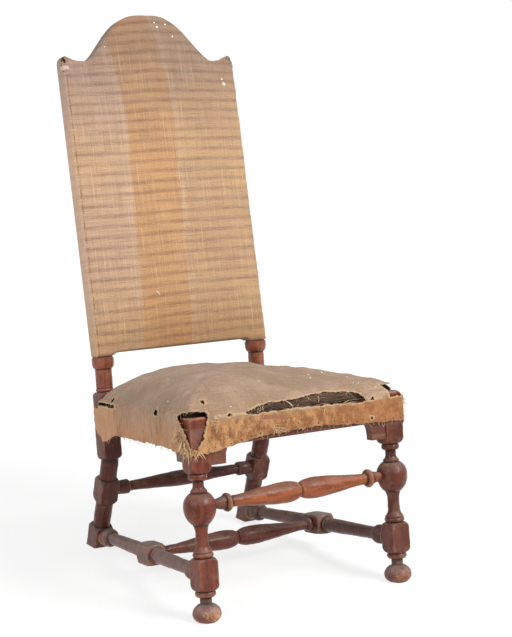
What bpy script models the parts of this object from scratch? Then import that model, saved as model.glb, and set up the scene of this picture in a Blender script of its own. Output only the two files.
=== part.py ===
"""Side chair with turned legs, a tall arched upholstered back and a stuffed-over seat.

The chair is drawn upright on its front legs with the seat level: X across, Y to the back, Z up, metres.
An empty then leans it back until it stands on the floor as it does today, with its rear feet lost.
Turned pieces are lofts of rings. A ring is a square cut by a circle, which gives the round stretches,
the square blocks and the turned shoulders between them.
"""
import math

import bmesh
import bpy
import numpy as np

# Stance and fit
LEAN = math.radians(7.23)
CLEARANCE = 0.0003
CUT_OVERRUN = 0.004
SMALL = 1e-6

# Turned details that repeat: a quirk is the narrow step beside a bead
QUIRK = 0.001
SLACK_SHARE = 0.93
BEAD_FULLNESS = 0.6

# Plan of the frame, between the axes of legs and posts
FRONT_SPREAD = 0.460
REAR_SPREAD = 0.390
SEAT_DEPTH = 0.457

# Front legs, from the foot up
LEG_BLOCK = 0.043
FOOT_RADIUS = 0.0287
FOOT_MIDDLE = 0.0145
FOOT_TOP = 0.034
ANKLE_RADIUS = 0.0120
ANKLE_TOP = 0.047
ANKLE_RING_RADIUS = 0.0206
LOWER_BLOCK_BOTTOM = 0.060
LOWER_BLOCK_TOP = 0.1235
BLOCK_END_RADIUS = 0.0172
BLOCK_SHOULDER = 0.014
LEG_RING_RADIUS = 0.0208
LEG_RING_TOP = 0.1350
LEG_NECK_RADIUS = 0.0123
LEG_NECK_BOTTOM = 0.152
LEG_NECK_TOP = 0.172
BALL_RADIUS = 0.0325
BALL_MIDDLE = 0.2235
BALL_DROP = 0.040
BALL_FOOT_RADIUS = 0.0164
BALL_CROWN_RADIUS = 0.0193
VASE_COLLAR_RADIUS = 0.0168
VASE_COLLAR_TOP = 0.2560
VASE_NECK_RADIUS = 0.0112
VASE_NECK_TOP = 0.2745
VASE_NECK_LENGTH = 0.010
VASE_RING_EDGE = 0.0159
VASE_RING_RADIUS = 0.0187
UPPER_BLOCK_BOTTOM = 0.2895
UPPER_BLOCK_SHOULDER = 0.020
LEG_TOP_RISE = 0.0125
LEG_TOP_RADIUS = 0.019

# Rear posts: a raked foot, an upright seat block and a raked back
POST_BLOCK = 0.042
POST_COLUMN_RADIUS = 0.0190
POST_SPLAY = 0.0875
POST_OVERRUN = 0.016
POST_FOOT_BLOCK = 0.054
POST_STRETCHER_BLOCK = 0.058
POST_STRETCHER_AT = 0.144
KNEE_HEIGHT = 0.266
SEAT_BLOCK_BOTTOM = 0.272
SEAT_BLOCK_TOP = 0.4185
NECK_RING_RADIUS = 0.0198
NECK_RADIUS = 0.0184
NECK_RING_HEIGHT = 0.008
CAPITAL_LIP = 0.008
NECK_TOP = 0.470
CAPITAL_RADIUS = 0.0245
CAPITAL_TOP = 0.494
BACK_RAKE = math.radians(6.2)
STILE_WIDTH = 0.039
STILE_DEPTH = 0.022
STILE_LENGTH = 0.590

# Back rails, measured along the back from the tops of the capitals
CREST_SHOULDER = 0.060
CREST_ARCH_RISE = 0.1040
CREST_ARCH_HALF = 0.165
CREST_ARCH_POWER = 3.0
CREST_ARCH_FULLNESS = 2.35
CREST_EAR_RISE = 0.0115
CREST_EAR_AT = 0.205
CREST_CORNER = 0.016
LOWER_RAIL_BOTTOM = 0.0125
LOWER_RAIL_HEIGHT = 0.048
BACK_TENON_WIDTH = 0.024
BACK_TENON_LENGTH = 0.026
BACK_TENON_THICK = 0.008

# Seat rails
RAIL_TOP = 0.386
RAIL_THICK = 0.024
RAIL_SETBACK = 0.002
FRONT_RAIL_HEIGHT = 0.048
SIDE_RAIL_HEIGHT = 0.050
RAIL_TENON_LENGTH = 0.018
RAIL_TENON_THICK = 0.009
RAIL_TENON_INSET = 0.007

# Corner brackets under the rails
BRACKET_LENGTH = 0.044
BRACKET_TIP = 0.034
BRACKET_HOLLOW_SHARE = 0.8
BRACKET_THICK = 0.020
FRONT_BRACKET_HEIGHT = 0.035
SIDE_BRACKET_HEIGHT = 0.027

# Stretchers
LOW_STRETCHER_HEIGHT = 0.092
MEDIAL_AT = 0.262
TENON_RADIUS = 0.0085
TENON_LENGTH = 0.015
BULB_RADIUS = 0.0216
BULB_AT = 0.034
BULB_PINCH_RADIUS = 0.0102
FRONT_SHAFT_RADIUS = 0.0115
FRONT_COLLAR_RADIUS = 0.0190
FRONT_COLLAR_AT = 0.169
FRONT_COLLAR_WIDTH = 0.013
FRONT_CONE_RADIUS = 0.0135
MEDIAL_BULB_RADIUS = 0.0205
MEDIAL_SHAFT_RADIUS = 0.0098
MEDIAL_COLLAR_RADIUS = 0.0145
MEDIAL_COLLAR_WIDTH = 0.012
MEDIAL_COLLAR_EDGE = 0.0118
SIDE_BLOCK = 0.042
SIDE_BLOCK_LENGTH = 0.062
SIDE_SHAFT_RADIUS = 0.0125
SIDE_SWELL_RADIUS = 0.0150
SIDE_FLARE_RADIUS = 0.0203
SIDE_FLARE_LENGTH = 0.011
SIDE_GROOVE_RADIUS = 0.0155
SIDE_COLLAR_RADIUS = 0.0188
SIDE_COLLAR_LENGTH = 0.034
SIDE_RING_RADIUS = 0.0168
SIDE_RING_WIDTH = 0.010
REAR_COLLAR_RADIUS = 0.0160
REAR_COLLAR_LENGTH = 0.034
REAR_COLLAR_EDGE = 0.0136
REAR_SHAFT_RADIUS = 0.0112
REAR_SWELL_RADIUS = 0.0176

# Pegs that lock the tenons
PEG_RADIUS = 0.003
PEG_LENGTH = 0.030
BACK_PEG_LENGTH = 0.018
PEG_STAGGER = 0.012

# Seat upholstery
WEB_WIDTH = 0.050
WEB_THICK = 0.0014
WEB_COUNT = 3
WEB_END = 0.003
WEB_EASE = 0.003
SACKCLOTH_THICK = 0.0012
SEAT_COVER_THICK = 0.0016
SEAT_PAD_SHARE = 0.965
SEAT_PAD_POST_GAP = 0.009
REAR_FLAP_GAP = 0.0012
SEAT_CROWN_RISE = 0.0820
SEAT_EDGE_RISE = 0.013
SEAT_CROWN_POWER = 2.3
SEAT_TILT = 0.090
SEAT_FRONT_FULLNESS = 0.6
SEAT_FRONT_DEPTH = 0.200
FRONT_HEM_DROP = 0.043
SIDE_HEM_DROP = 0.051
REAR_HEM_DROP = 0.046
POST_HEM_RISE = 0.007
POST_CUT = 0.0012
CORNER_SLIT = 0.030
SLIT_TOP_RISE = 0.026
SLIT_BOTTOM_DROP = 0.064
SLIT_SLANT = 0.004
SLIT_REACH = 0.022
SLIT_OUT = 0.020
TEAR_MIDDLE = 0.018
TEAR_HALF = 0.140
TEAR_RISE = 0.021
TEAR_GAPE = 0.024
TEAR_REACH = 0.010
EDGE_ROLL_DEPTH = 0.021
EDGE_ROLL_HEIGHT = 0.017
EDGE_ROLL_END = 0.012
EDGE_ROLL_END_SHARE = 0.7
EDGE_ROLL_SQUARENESS = 1.15
TAB_LENGTH = 0.037
TAB_HEIGHT = 0.063
TAB_TIP_LENGTH = 0.022
TAB_TIP_HEIGHT = 0.030

# Back upholstery
BACK_CROWN = 0.015
BACK_CROWN_ACROSS = 4
BACK_CROWN_UP = 6
BACK_CROWN_FULLNESS = 0.7
BACK_ROW_SPREAD = 4
BACK_PAD_EDGE = 0.004
BACK_SACK_INSET = 0.009
BACK_COVER_THICK = 0.0014
BACK_OUTER_INSET = 0.004

# Facets
LEG_SIDES = 16
STRETCHER_SIDES = 16
BULB_SIDES = 12
TEAR_SIDES = 8
PEG_SIDES = 8
SHARP_ANGLE = math.radians(35)
ARC_STEPS = 3
SEAT_SHARES = (1.0, 0.975, 0.93, 0.84, 0.70, 0.50, 0.25)
SEAT_RAY_STEP = 0.17
BACK_COLUMNS = 30
BACK_ROWS = 7
BACK_PAD_SKIP_COUNT = 2

# Values that follow from the sizes above
ROOT2 = math.sqrt(2.0)
X_AXIS = np.array([1.0, 0.0, 0.0])
Y_AXIS = np.array([0.0, 1.0, 0.0])
Z_AXIS = np.array([0.0, 0.0, 1.0])
SIDES = {"left": -1.0, "right": 1.0}
SIDE_SLOPE = (FRONT_SPREAD - REAR_SPREAD) / 2 / SEAT_DEPTH
POST_FOOT_Y = SEAT_DEPTH + POST_SPLAY
POST_FOOT_Z = POST_FOOT_Y * math.tan(LEAN)
LEG_TOP = RAIL_TOP + LEG_TOP_RISE
SEAT_CROWN_TOP = RAIL_TOP + SEAT_CROWN_RISE
SEAT_EDGE_HEIGHT = RAIL_TOP + SEAT_EDGE_RISE
FRONT_HEM = RAIL_TOP - FRONT_HEM_DROP
SIDE_HEM = RAIL_TOP - SIDE_HEM_DROP
REAR_HEM = RAIL_TOP - REAR_HEM_DROP
POST_HEM = RAIL_TOP + POST_HEM_RISE
SLIT_TOP = RAIL_TOP + SLIT_TOP_RISE
SLIT_BOTTOM = RAIL_TOP - SLIT_BOTTOM_DROP
TEAR_HEIGHT = RAIL_TOP + TEAR_RISE
POST_RAKE = math.atan2(POST_FOOT_Y - SEAT_DEPTH, KNEE_HEIGHT - POST_FOOT_Z)
POST_UP = np.array([0.0, -math.sin(POST_RAKE), math.cos(POST_RAKE)])
POST_BACK = np.array([0.0, math.cos(POST_RAKE), math.sin(POST_RAKE)])
BACK_UP = np.array([0.0, math.sin(BACK_RAKE), math.cos(BACK_RAKE)])
BACK_FRONT = np.array([0.0, -math.cos(BACK_RAKE), math.sin(BACK_RAKE)])
BACK_ORIGIN = np.array([0.0, SEAT_DEPTH, CAPITAL_TOP])
BACK_HALF = REAR_SPREAD / 2 + STILE_WIDTH / 2
CREST_DIP = STILE_LENGTH + CREST_SHOULDER
RAIL_OUT = LEG_BLOCK / 2 - RAIL_SETBACK - RAIL_THICK / 2
LEG_FACE = LEG_BLOCK / 2
POST_FACE = POST_BLOCK / 2
WEB_STEP = WEB_THICK + CLEARANCE
SACKCLOTH_TOP = RAIL_TOP + 3 * CLEARANCE + WEB_THICK + WEB_STEP + SACKCLOTH_THICK
FINISH_WOOD = ((0.115, 0.045, 0.030), 0.45)
FINISH_DUSTY_WOOD = ((0.110, 0.062, 0.050), 0.60)
FINISH_PEG = ((0.160, 0.085, 0.050), 0.60)
FINISH_WEB = ((0.300, 0.220, 0.140), 0.95)
FINISH_SACKCLOTH = ((0.330, 0.250, 0.165), 0.95)
FINISH_STUFFING = ((0.060, 0.045, 0.030), 0.95)
FINISH_SEAT_CLOTH = ((0.380, 0.280, 0.195), 0.92)
FINISH_BACK_CLOTH = ((0.480, 0.330, 0.195), 0.92)


def clear_scene():
    """Start from an empty file."""
    for item in list(bpy.data.objects):
        bpy.data.objects.remove(item, do_unlink=True)
    for mesh in list(bpy.data.meshes):
        bpy.data.meshes.remove(mesh)


def make_material(name, colour, roughness):
    """One finish with its own colour and roughness."""
    material = bpy.data.materials.new(name)
    material.use_nodes = True
    shader = material.node_tree.nodes["Principled BSDF"]
    shader.inputs["Base Color"].default_value = (*colour, 1.0)
    shader.inputs["Roughness"].default_value = roughness
    shader.inputs["Metallic"].default_value = 0.0
    material.diffuse_color = (*colour, 1.0)
    return material


def make_object(name, bm, stance, finish, closed=True):
    """Turn a bmesh into a named piece that leans with the chair; an open sheet keeps its facing."""
    if closed:
        bmesh.ops.recalc_face_normals(bm, faces=bm.faces[:])
    mesh = bpy.data.meshes.new(name)
    bm.to_mesh(mesh)
    bm.free()
    mesh.shade_smooth()
    mesh.set_sharp_from_angle(angle=SHARP_ANGLE)
    mesh.materials.append(make_material(name, *finish))
    piece = bpy.data.objects.new(name, mesh)
    bpy.context.collection.objects.link(piece)
    piece.parent = stance
    return piece


def make_cutter(name, bm, stance):
    """A guide solid for a mortise, socket or peg hole."""
    cutter = make_object(name, bm, stance, FINISH_PEG)
    cutter.hide_render = True
    cutter.display_type = "WIRE"
    return cutter


def cut(piece, cutter, solver="EXACT"):
    """Take the cutter out of the piece."""
    hole = piece.modifiers.new(cutter.name, "BOOLEAN")
    hole.operation = "DIFFERENCE"
    hole.solver = solver
    hole.object = cutter


def ring(centre, across, up, half_across, half_up, turn, sides):
    """One ring of points: a rectangle whose corners a circle of `turn` half widths rounds off."""
    angles = np.arange(sides) * 2 * math.pi / sides
    cosine = np.cos(angles)
    sine = np.sin(angles)
    reach = np.minimum(turn, 1 / np.maximum(np.abs(cosine), np.abs(sine)))
    return centre + np.outer(half_across * reach * cosine, across) + np.outer(half_up * reach * sine, up)


def turned_ring(centre, across, up, radius, half, sides):
    """A ring turned to `radius` on square stock of twice `half`."""
    width = min(radius, half)
    return ring(centre, across, up, width, width, radius / width, sides)


def loft(rings):
    """A closed skin through equal rings, with flat ends."""
    bm = bmesh.new()
    layers = [[bm.verts.new(point) for point in points] for points in rings]
    for low, high in zip(layers, layers[1:]):
        for index in range(len(low)):
            bm.faces.new((low[index - 1], low[index], high[index], high[index - 1]))
    bm.faces.new(layers[0][::-1])
    bm.faces.new(layers[-1])
    return bm


def bar(stations, across, up):
    """A tenoned bar: stations of (centre, half across, half up), with shoulders where two share
    a centre."""
    corners = [(-1, -1), (1, -1), (1, 1), (-1, 1)]
    return loft([[centre + across * half_across * a + up * half_up * b for a, b in corners]
                 for centre, half_across, half_up in stations])


def rod(start, end, across, up, radius, sides):
    """A round bar between two points."""
    return loft([ring(centre, across, up, radius, radius, 1.0, sides) for centre in (start, end)])


def quarter_round(start, end, first, last):
    """Stations that leave `first` square to the axis and meet `last` along it."""
    turns = [index / ARC_STEPS * math.pi / 2 for index in range(ARC_STEPS + 1)]
    return [(start + (end - start) * (1 - math.cos(turn)), first + (last - first) * math.sin(turn))
            for turn in turns]


def ease(start, end, first, last):
    """Stations of an S-shaped run between two radii, level at both ends."""
    shares = [index / ARC_STEPS for index in range(ARC_STEPS + 1)]
    return [(start + (end - start) * share, first + (last - first) * share * share * (3 - 2 * share))
            for share in shares]


def cove(start, end, first, last):
    """Stations of a hollow that leaves `first` along the axis and opens out to `last`."""
    shares = [index / ARC_STEPS for index in range(ARC_STEPS + 1)]
    return [(start + (end - start) * share, first + (last - first) * share * share) for share in shares]


def bead(start, end, low, high):
    """Stations of a bead: from `low` up to `high` in the middle and down again."""
    shares = [index / ARC_STEPS for index in range(ARC_STEPS + 1)]
    return [(start + (end - start) * share, low + (high - low) * math.sin(math.pi * share) ** BEAD_FULLNESS)
            for share in shares]


def oval(middle, reach, radius, first, last, steps=2 * ARC_STEPS):
    """Stations on an oval from turn `first` to turn `last`, in radians from its widest place."""
    turns = [first + (last - first) * index / steps for index in range(steps + 1)]
    return [(middle + reach * math.sin(turn), radius * math.cos(turn)) for turn in turns]


def block(bottom, top, half, end_radius, shoulder):
    """Stations of a square block between two turned shoulders."""
    rise = quarter_round(bottom, bottom + shoulder, end_radius, half * ROOT2)
    fall = [(bottom + top - at, radius) for at, radius in reversed(rise)]
    return rise + fall


def mirrored(stations):
    """Stations given from the end to the middle, repeated backwards past the middle at zero."""
    return stations + [(-at, radius) for at, radius in reversed(stations) if at < -SMALL]


def cut_at_floor(bm):
    """Cut a foot off flush with the floor that the leaning chair stands on."""
    geometry = bm.verts[:] + bm.edges[:] + bm.faces[:]
    normal = (0.0, -math.sin(LEAN), math.cos(LEAN))
    bmesh.ops.bisect_plane(bm, geom=geometry, dist=SMALL, plane_co=(0.0, 0.0, 0.0), plane_no=normal,
                           clear_inner=True)
    edges = [edge for edge in bm.edges if edge.is_boundary]
    bmesh.ops.edgeloop_fill(bm, edges=edges)
    return bm


def leg_axis(side, y):
    """X of the line from a front leg to its rear post, at depth y."""
    return side * (FRONT_SPREAD / 2 - SIDE_SLOPE * y)


def side_line(side):
    """Direction of a side rail or side stretcher, per metre of depth."""
    return np.array([-side * SIDE_SLOPE, 1.0, 0.0])


def back_point(x, rise, forward):
    """A point of the raked back: x across, rise along it, forward of its middle plane."""
    return BACK_ORIGIN + X_AXIS * x + BACK_UP * rise + BACK_FRONT * forward


def post_point(x, distance):
    """A point on the raked lower axis of a rear post, measured up from the floor."""
    return np.array([x, POST_FOOT_Y, POST_FOOT_Z]) + POST_UP * distance


def crest_top(x):
    """Height of the crest along the back: an arch between two ears with a dip beside each."""
    share = np.clip(np.abs(x) / CREST_ARCH_HALF, 0.0, 1.0)
    arch = CREST_ARCH_RISE * (1 - share ** CREST_ARCH_POWER) ** CREST_ARCH_FULLNESS
    climb = np.clip((np.abs(x) - CREST_ARCH_HALF) / (CREST_EAR_AT - CREST_ARCH_HALF), 0.0, 1.0)
    ear = CREST_EAR_RISE * climb ** 2
    drop = np.clip((np.abs(x) - CREST_EAR_AT) / (BACK_HALF - CREST_EAR_AT), 0.0, 1.0)
    corner = CREST_CORNER * (1 - np.sqrt(1 - drop ** 2))
    return CREST_DIP + arch + ear - corner


def front_leg_stations():
    """Height and turning radius up a front leg: bun foot, block, vase and ball, block."""
    half = LEG_BLOCK / 2
    turn = math.acos(ANKLE_RADIUS / FOOT_RADIUS)
    foot_reach = (FOOT_TOP - FOOT_MIDDLE) / math.sin(turn)
    foot = oval(FOOT_MIDDLE, foot_reach, FOOT_RADIUS, -turn, turn)
    ankle = [(ANKLE_TOP, ANKLE_RADIUS)]
    ankle += bead(ANKLE_TOP + QUIRK, LOWER_BLOCK_BOTTOM - QUIRK / 2, BLOCK_END_RADIUS, ANKLE_RING_RADIUS)
    low_block = block(LOWER_BLOCK_BOTTOM, LOWER_BLOCK_TOP, half, BLOCK_END_RADIUS, BLOCK_SHOULDER)
    leg_ring = bead(LOWER_BLOCK_TOP + QUIRK, LEG_RING_TOP, BLOCK_END_RADIUS, LEG_RING_RADIUS)
    flare = cove(LEG_NECK_BOTTOM, LEG_RING_TOP + QUIRK, LEG_NECK_RADIUS, LEG_RING_RADIUS * SLACK_SHARE)[::-1]
    rise = cove(LEG_NECK_TOP, BALL_MIDDLE - BALL_DROP * math.sin(math.acos(BALL_FOOT_RADIUS / BALL_RADIUS)),
                LEG_NECK_RADIUS, BALL_FOOT_RADIUS)
    lower = oval(BALL_MIDDLE, BALL_DROP, BALL_RADIUS, -math.acos(BALL_FOOT_RADIUS / BALL_RADIUS), 0.0,
                 ARC_STEPS)
    upper = oval(BALL_MIDDLE, BALL_RADIUS, BALL_RADIUS, 0.0, math.acos(BALL_CROWN_RADIUS / BALL_RADIUS),
                 ARC_STEPS)
    groove = upper[-1][0] + QUIRK
    collar = [(groove, VASE_COLLAR_RADIUS * SLACK_SHARE), (groove + QUIRK, VASE_COLLAR_RADIUS)]
    hollow = cove(VASE_NECK_TOP - VASE_NECK_LENGTH, VASE_COLLAR_TOP - QUIRK, VASE_NECK_RADIUS,
                  VASE_COLLAR_RADIUS)[::-1]
    neck = [(VASE_NECK_TOP, VASE_NECK_RADIUS)]
    vase_ring = bead(VASE_NECK_TOP + 2 * QUIRK, UPPER_BLOCK_BOTTOM - QUIRK, VASE_RING_EDGE, VASE_RING_RADIUS)
    high_block = quarter_round(UPPER_BLOCK_BOTTOM, UPPER_BLOCK_BOTTOM + UPPER_BLOCK_SHOULDER,
                               VASE_RING_RADIUS, half * ROOT2)
    top = quarter_round(LEG_TOP, LEG_TOP - BLOCK_SHOULDER, LEG_TOP_RADIUS, half * ROOT2)[::-1]
    return (foot + ankle + low_block + leg_ring + flare + rise + lower[1:] + upper[1:] + collar + hollow
            + neck + vase_ring + high_block + top)


def make_front_leg(side_name, stance):
    """A front leg, turned from one stick."""
    x = SIDES[side_name] * FRONT_SPREAD / 2
    rings = [turned_ring(np.array([x, 0.0, height]), X_AXIS, Y_AXIS, radius, LEG_BLOCK / 2, LEG_SIDES)
             for height, radius in front_leg_stations()]
    return make_object(f"front_leg_{side_name}", cut_at_floor(loft(rings)), stance, FINISH_WOOD)


def make_rear_post(side_name, stance):
    """A rear post: raked foot with two blocks, upright seat block, turned neck and raked stile."""
    x = SIDES[side_name] * REAR_SPREAD / 2
    half = POST_BLOCK / 2
    knee = np.array([x, SEAT_DEPTH, KNEE_HEIGHT])
    foot = [(-POST_OVERRUN, half * ROOT2)]
    foot += block(0.0, POST_FOOT_BLOCK, half, POST_COLUMN_RADIUS, BLOCK_SHOULDER)[ARC_STEPS + 1:]
    middle = block(POST_STRETCHER_AT - POST_STRETCHER_BLOCK / 2, POST_STRETCHER_AT + POST_STRETCHER_BLOCK / 2,
                   half, POST_COLUMN_RADIUS, BLOCK_SHOULDER)
    rings = [turned_ring(post_point(x, at), X_AXIS, POST_BACK, radius, half, LEG_SIDES)
             for at, radius in foot + middle]
    bisector = np.array([0.0, math.cos(POST_RAKE / 2), math.sin(POST_RAKE / 2)])
    rings.append(turned_ring(knee, X_AXIS, bisector, POST_COLUMN_RADIUS, half, LEG_SIDES))
    seat_block = block(SEAT_BLOCK_BOTTOM, SEAT_BLOCK_TOP, half, POST_COLUMN_RADIUS, BLOCK_SHOULDER)
    rings += [turned_ring(np.array([x, SEAT_DEPTH, at]), X_AXIS, Y_AXIS, radius, half, LEG_SIDES)
              for at, radius in seat_block]
    ring_bottom = SEAT_BLOCK_TOP + QUIRK
    ring_top = ring_bottom + NECK_RING_HEIGHT
    neck = bead(ring_bottom, ring_top, NECK_RADIUS * SLACK_SHARE, NECK_RING_RADIUS)
    neck += [(ring_top + QUIRK, NECK_RADIUS), (NECK_TOP - QUIRK, NECK_RADIUS)]
    neck += quarter_round(NECK_TOP, CAPITAL_TOP - CAPITAL_LIP, NECK_RADIUS, CAPITAL_RADIUS)
    neck += [(CAPITAL_TOP - QUIRK, CAPITAL_RADIUS)]
    rings += [turned_ring(np.array([x, SEAT_DEPTH, at]), X_AXIS, Y_AXIS, radius, radius, LEG_SIDES)
              for at, radius in neck]
    stile = [(0.0, STILE_WIDTH, STILE_DEPTH), (STILE_LENGTH, STILE_WIDTH, STILE_DEPTH)]
    stile += [(STILE_LENGTH, BACK_TENON_WIDTH, BACK_TENON_THICK),
              (STILE_LENGTH + BACK_TENON_LENGTH, BACK_TENON_WIDTH, BACK_TENON_THICK)]
    rings += [ring(back_point(x, rise, 0.0), X_AXIS, -BACK_FRONT, width / 2, depth / 2, ROOT2, LEG_SIDES)
              for rise, width, depth in stile]
    return make_object(f"rear_post_{side_name}", cut_at_floor(loft(rings)), stance, FINISH_WOOD)


def rail_bar(start, end, along, height):
    """Stations of a seat rail and its two tenons."""
    drop = Z_AXIS * (RAIL_TOP - height / 2)
    body = (RAIL_THICK / 2, height / 2)
    tenon = (RAIL_TENON_THICK / 2, height / 2 - RAIL_TENON_INSET)
    reach = along * RAIL_TENON_LENGTH
    stations = [(start - reach, *tenon), (start, *tenon), (start, *body), (end, *body), (end, *tenon),
                (end + reach, *tenon)]
    return [(centre + drop, half_across, half_up) for centre, half_across, half_up in stations]


def make_cross_rail(name, y, x, height, stance):
    """A front or rear seat rail, tenoned between two uprights whose inner faces are at +-x."""
    start = np.array([-x + CLEARANCE, y, 0.0])
    end = np.array([x - CLEARANCE, y, 0.0])
    stations = rail_bar(start, end, X_AXIS, height)
    return make_object(name, bar(stations, Y_AXIS, Z_AXIS), stance, FINISH_WOOD)


def make_side_rail(side_name, stance):
    """A side seat rail, running in from the front leg to the rear post."""
    side = SIDES[side_name]
    ends = [LEG_FACE + CLEARANCE, SEAT_DEPTH - POST_FACE - CLEARANCE]
    start, end = [np.array([leg_axis(side, y) + side * RAIL_OUT, y, 0.0]) for y in ends]
    stations = rail_bar(start, end, side_line(side), SIDE_RAIL_HEIGHT)
    return make_object(f"side_seat_rail_{side_name}", bar(stations, X_AXIS, Z_AXIS), stance, FINISH_WOOD)


def mortise(name, mouth, into, across, up, width, height, depth, stance):
    """A cutter for a rectangular tenon: it starts outside the mouth and goes in past the tenon's end."""
    start = mouth - into * CUT_OVERRUN
    end = mouth + into * (depth + CLEARANCE)
    size = (width / 2 + CLEARANCE, height / 2 + CLEARANCE)
    return make_cutter(name, bar([(start, *size), (end, *size)], across, up), stance)


def socket(name, mouth, into, across, up, depth, stance, sides=BULB_SIDES):
    """A cutter for a round tenon with as many sides."""
    start = mouth - into * CUT_OVERRUN
    end = mouth + into * (depth + CLEARANCE)
    return make_cutter(name, rod(start, end, across, up, TENON_RADIUS + CLEARANCE, sides), stance)


def bracket_bm(corner, out, thick_axis, height):
    """A corner bracket: a short block under a rail, hollowed at its free end."""
    turns = [index / ARC_STEPS * math.pi / 2 for index in range(ARC_STEPS + 1)]
    hollow = [(BRACKET_LENGTH - (BRACKET_LENGTH - BRACKET_TIP) * math.sin(turn),
               -height * BRACKET_HOLLOW_SHARE * (1 - math.cos(turn))) for turn in turns]
    outline = [(0.0, 0.0), *hollow, (BRACKET_TIP, -height), (0.0, -height)]
    return loft([[corner + out * a + Z_AXIS * b + thick_axis * shift for a, b in outline]
                 for shift in (-BRACKET_THICK / 2, BRACKET_THICK / 2)])


def make_brackets(side_name, stance):
    """The two brackets in the corners between a front leg and its rails."""
    side = SIDES[side_name]
    x = side * (FRONT_SPREAD / 2 - LEG_FACE - CLEARANCE)
    corner = np.array([x, -RAIL_OUT, RAIL_TOP - FRONT_RAIL_HEIGHT - CLEARANCE])
    front = bracket_bm(corner, X_AXIS * -side, Y_AXIS, FRONT_BRACKET_HEIGHT)
    make_object(f"front_bracket_{side_name}", front, stance, FINISH_WOOD)
    y = LEG_FACE + CLEARANCE
    corner = np.array([leg_axis(side, y) + side * RAIL_OUT, y, RAIL_TOP - SIDE_RAIL_HEIGHT - CLEARANCE])
    flank = bracket_bm(corner, side_line(side), X_AXIS, SIDE_BRACKET_HEIGHT)
    make_object(f"side_bracket_{side_name}", flank, stance, FINISH_WOOD)


def turned_bar(stations, frame_at, half, sides):
    """A turned bar: stations of distance and radius, on rings that `frame_at` places."""
    return loft([turned_ring(*frame_at(at), radius, half, sides) for at, radius in stations])


def bulb_pair(bulb, shaft, shaft_end):
    """Stations from a shaft's outer end to the pinch in the middle, past one long bulb."""
    taper = ease(-shaft_end, -BULB_AT, shaft, bulb)
    turns = [index / ARC_STEPS * math.pi / 2 for index in range(1, ARC_STEPS + 1)]
    drop = [(-BULB_AT * (1 - math.sin(turn)), BULB_PINCH_RADIUS + (bulb - BULB_PINCH_RADIUS) * math.cos(turn))
            for turn in turns]
    return taper + drop


def make_front_stretcher(stance):
    """The front stretcher: two long bulbs that meet in the middle, with a collar near each ball."""
    reach = FRONT_SPREAD / 2 - BALL_RADIUS + TENON_LENGTH
    seat = FRONT_SPREAD / 2 - BALL_RADIUS - 2 * QUIRK
    inner = FRONT_COLLAR_AT - FRONT_COLLAR_WIDTH / 2
    outer = FRONT_COLLAR_AT + FRONT_COLLAR_WIDTH / 2
    half = [(-reach, TENON_RADIUS), (-seat, TENON_RADIUS), (-outer - QUIRK, FRONT_CONE_RADIUS)]
    half += bead(-outer, -inner, FRONT_CONE_RADIUS, FRONT_COLLAR_RADIUS)
    half += bulb_pair(BULB_RADIUS, FRONT_SHAFT_RADIUS, inner - 2 * QUIRK)
    bm = turned_bar(mirrored(half), lambda at: (np.array([at, 0.0, BALL_MIDDLE]), Y_AXIS, Z_AXIS), BULB_RADIUS,
                    BULB_SIDES)
    return make_object("front_stretcher", bm, stance, FINISH_WOOD)


def make_medial_stretcher(stance):
    """The low stretcher between the side stretchers."""
    face = leg_axis(1.0, MEDIAL_AT) - SIDE_BLOCK / 2 - CLEARANCE
    half = [(-face - TENON_LENGTH, TENON_RADIUS), (-face, TENON_RADIUS)]
    half += bead(-face, -face + MEDIAL_COLLAR_WIDTH, MEDIAL_COLLAR_EDGE, MEDIAL_COLLAR_RADIUS)
    half += bulb_pair(MEDIAL_BULB_RADIUS, MEDIAL_SHAFT_RADIUS, face - MEDIAL_COLLAR_WIDTH - 2 * QUIRK)

    def frame_at(at):
        slant = math.copysign(SIDE_SLOPE, at) if abs(at) > face - MEDIAL_COLLAR_WIDTH - SMALL else 0.0
        return np.array([at, MEDIAL_AT, LOW_STRETCHER_HEIGHT]), Y_AXIS - X_AXIS * slant, Z_AXIS

    bm = turned_bar(mirrored(half), frame_at, MEDIAL_BULB_RADIUS, BULB_SIDES)
    return make_object("medial_stretcher", bm, stance, FINISH_DUSTY_WOOD)


def make_rear_stretcher(stance):
    """The rear stretcher: a long swell between two straight collars."""
    face = REAR_SPREAD / 2 - POST_FACE - CLEARANCE
    inner = face - REAR_COLLAR_LENGTH
    half = [(-face - TENON_LENGTH, TENON_RADIUS), (-face, TENON_RADIUS)]
    half += [(-face, REAR_COLLAR_RADIUS * SLACK_SHARE)]
    half += [(-inner - 3 * QUIRK, REAR_COLLAR_RADIUS), (-inner, REAR_COLLAR_EDGE)]
    half += ease(-inner + QUIRK, 0.0, REAR_SHAFT_RADIUS, REAR_SWELL_RADIUS)
    centre = post_point(0.0, POST_STRETCHER_AT)
    bm = turned_bar(mirrored(half), lambda at: (centre + X_AXIS * at, POST_BACK, POST_UP), REAR_SWELL_RADIUS,
                    BULB_SIDES)
    return make_object("rear_stretcher", bm, stance, FINISH_WOOD)


def side_stretcher_ends():
    """Depths where a side stretcher meets the front leg's block and the rear post's raked foot."""
    rise = (LOW_STRETCHER_HEIGHT - POST_FOOT_Z) / math.cos(POST_RAKE)
    rear_axis = post_point(0.0, rise)[1]
    return LEG_FACE + CLEARANCE, rear_axis - (POST_FACE + CLEARANCE) / math.cos(POST_RAKE)


def side_end_stations():
    """Distance and radius from a side stretcher's shoulder inwards: flare, groove and collar."""
    flare = [(0.0, TENON_RADIUS), (0.0, SIDE_FLARE_RADIUS), (SIDE_FLARE_LENGTH, SIDE_GROOVE_RADIUS)]
    return flare + bead(SIDE_FLARE_LENGTH + QUIRK, SIDE_COLLAR_LENGTH, SIDE_GROOVE_RADIUS, SIDE_COLLAR_RADIUS)


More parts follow.
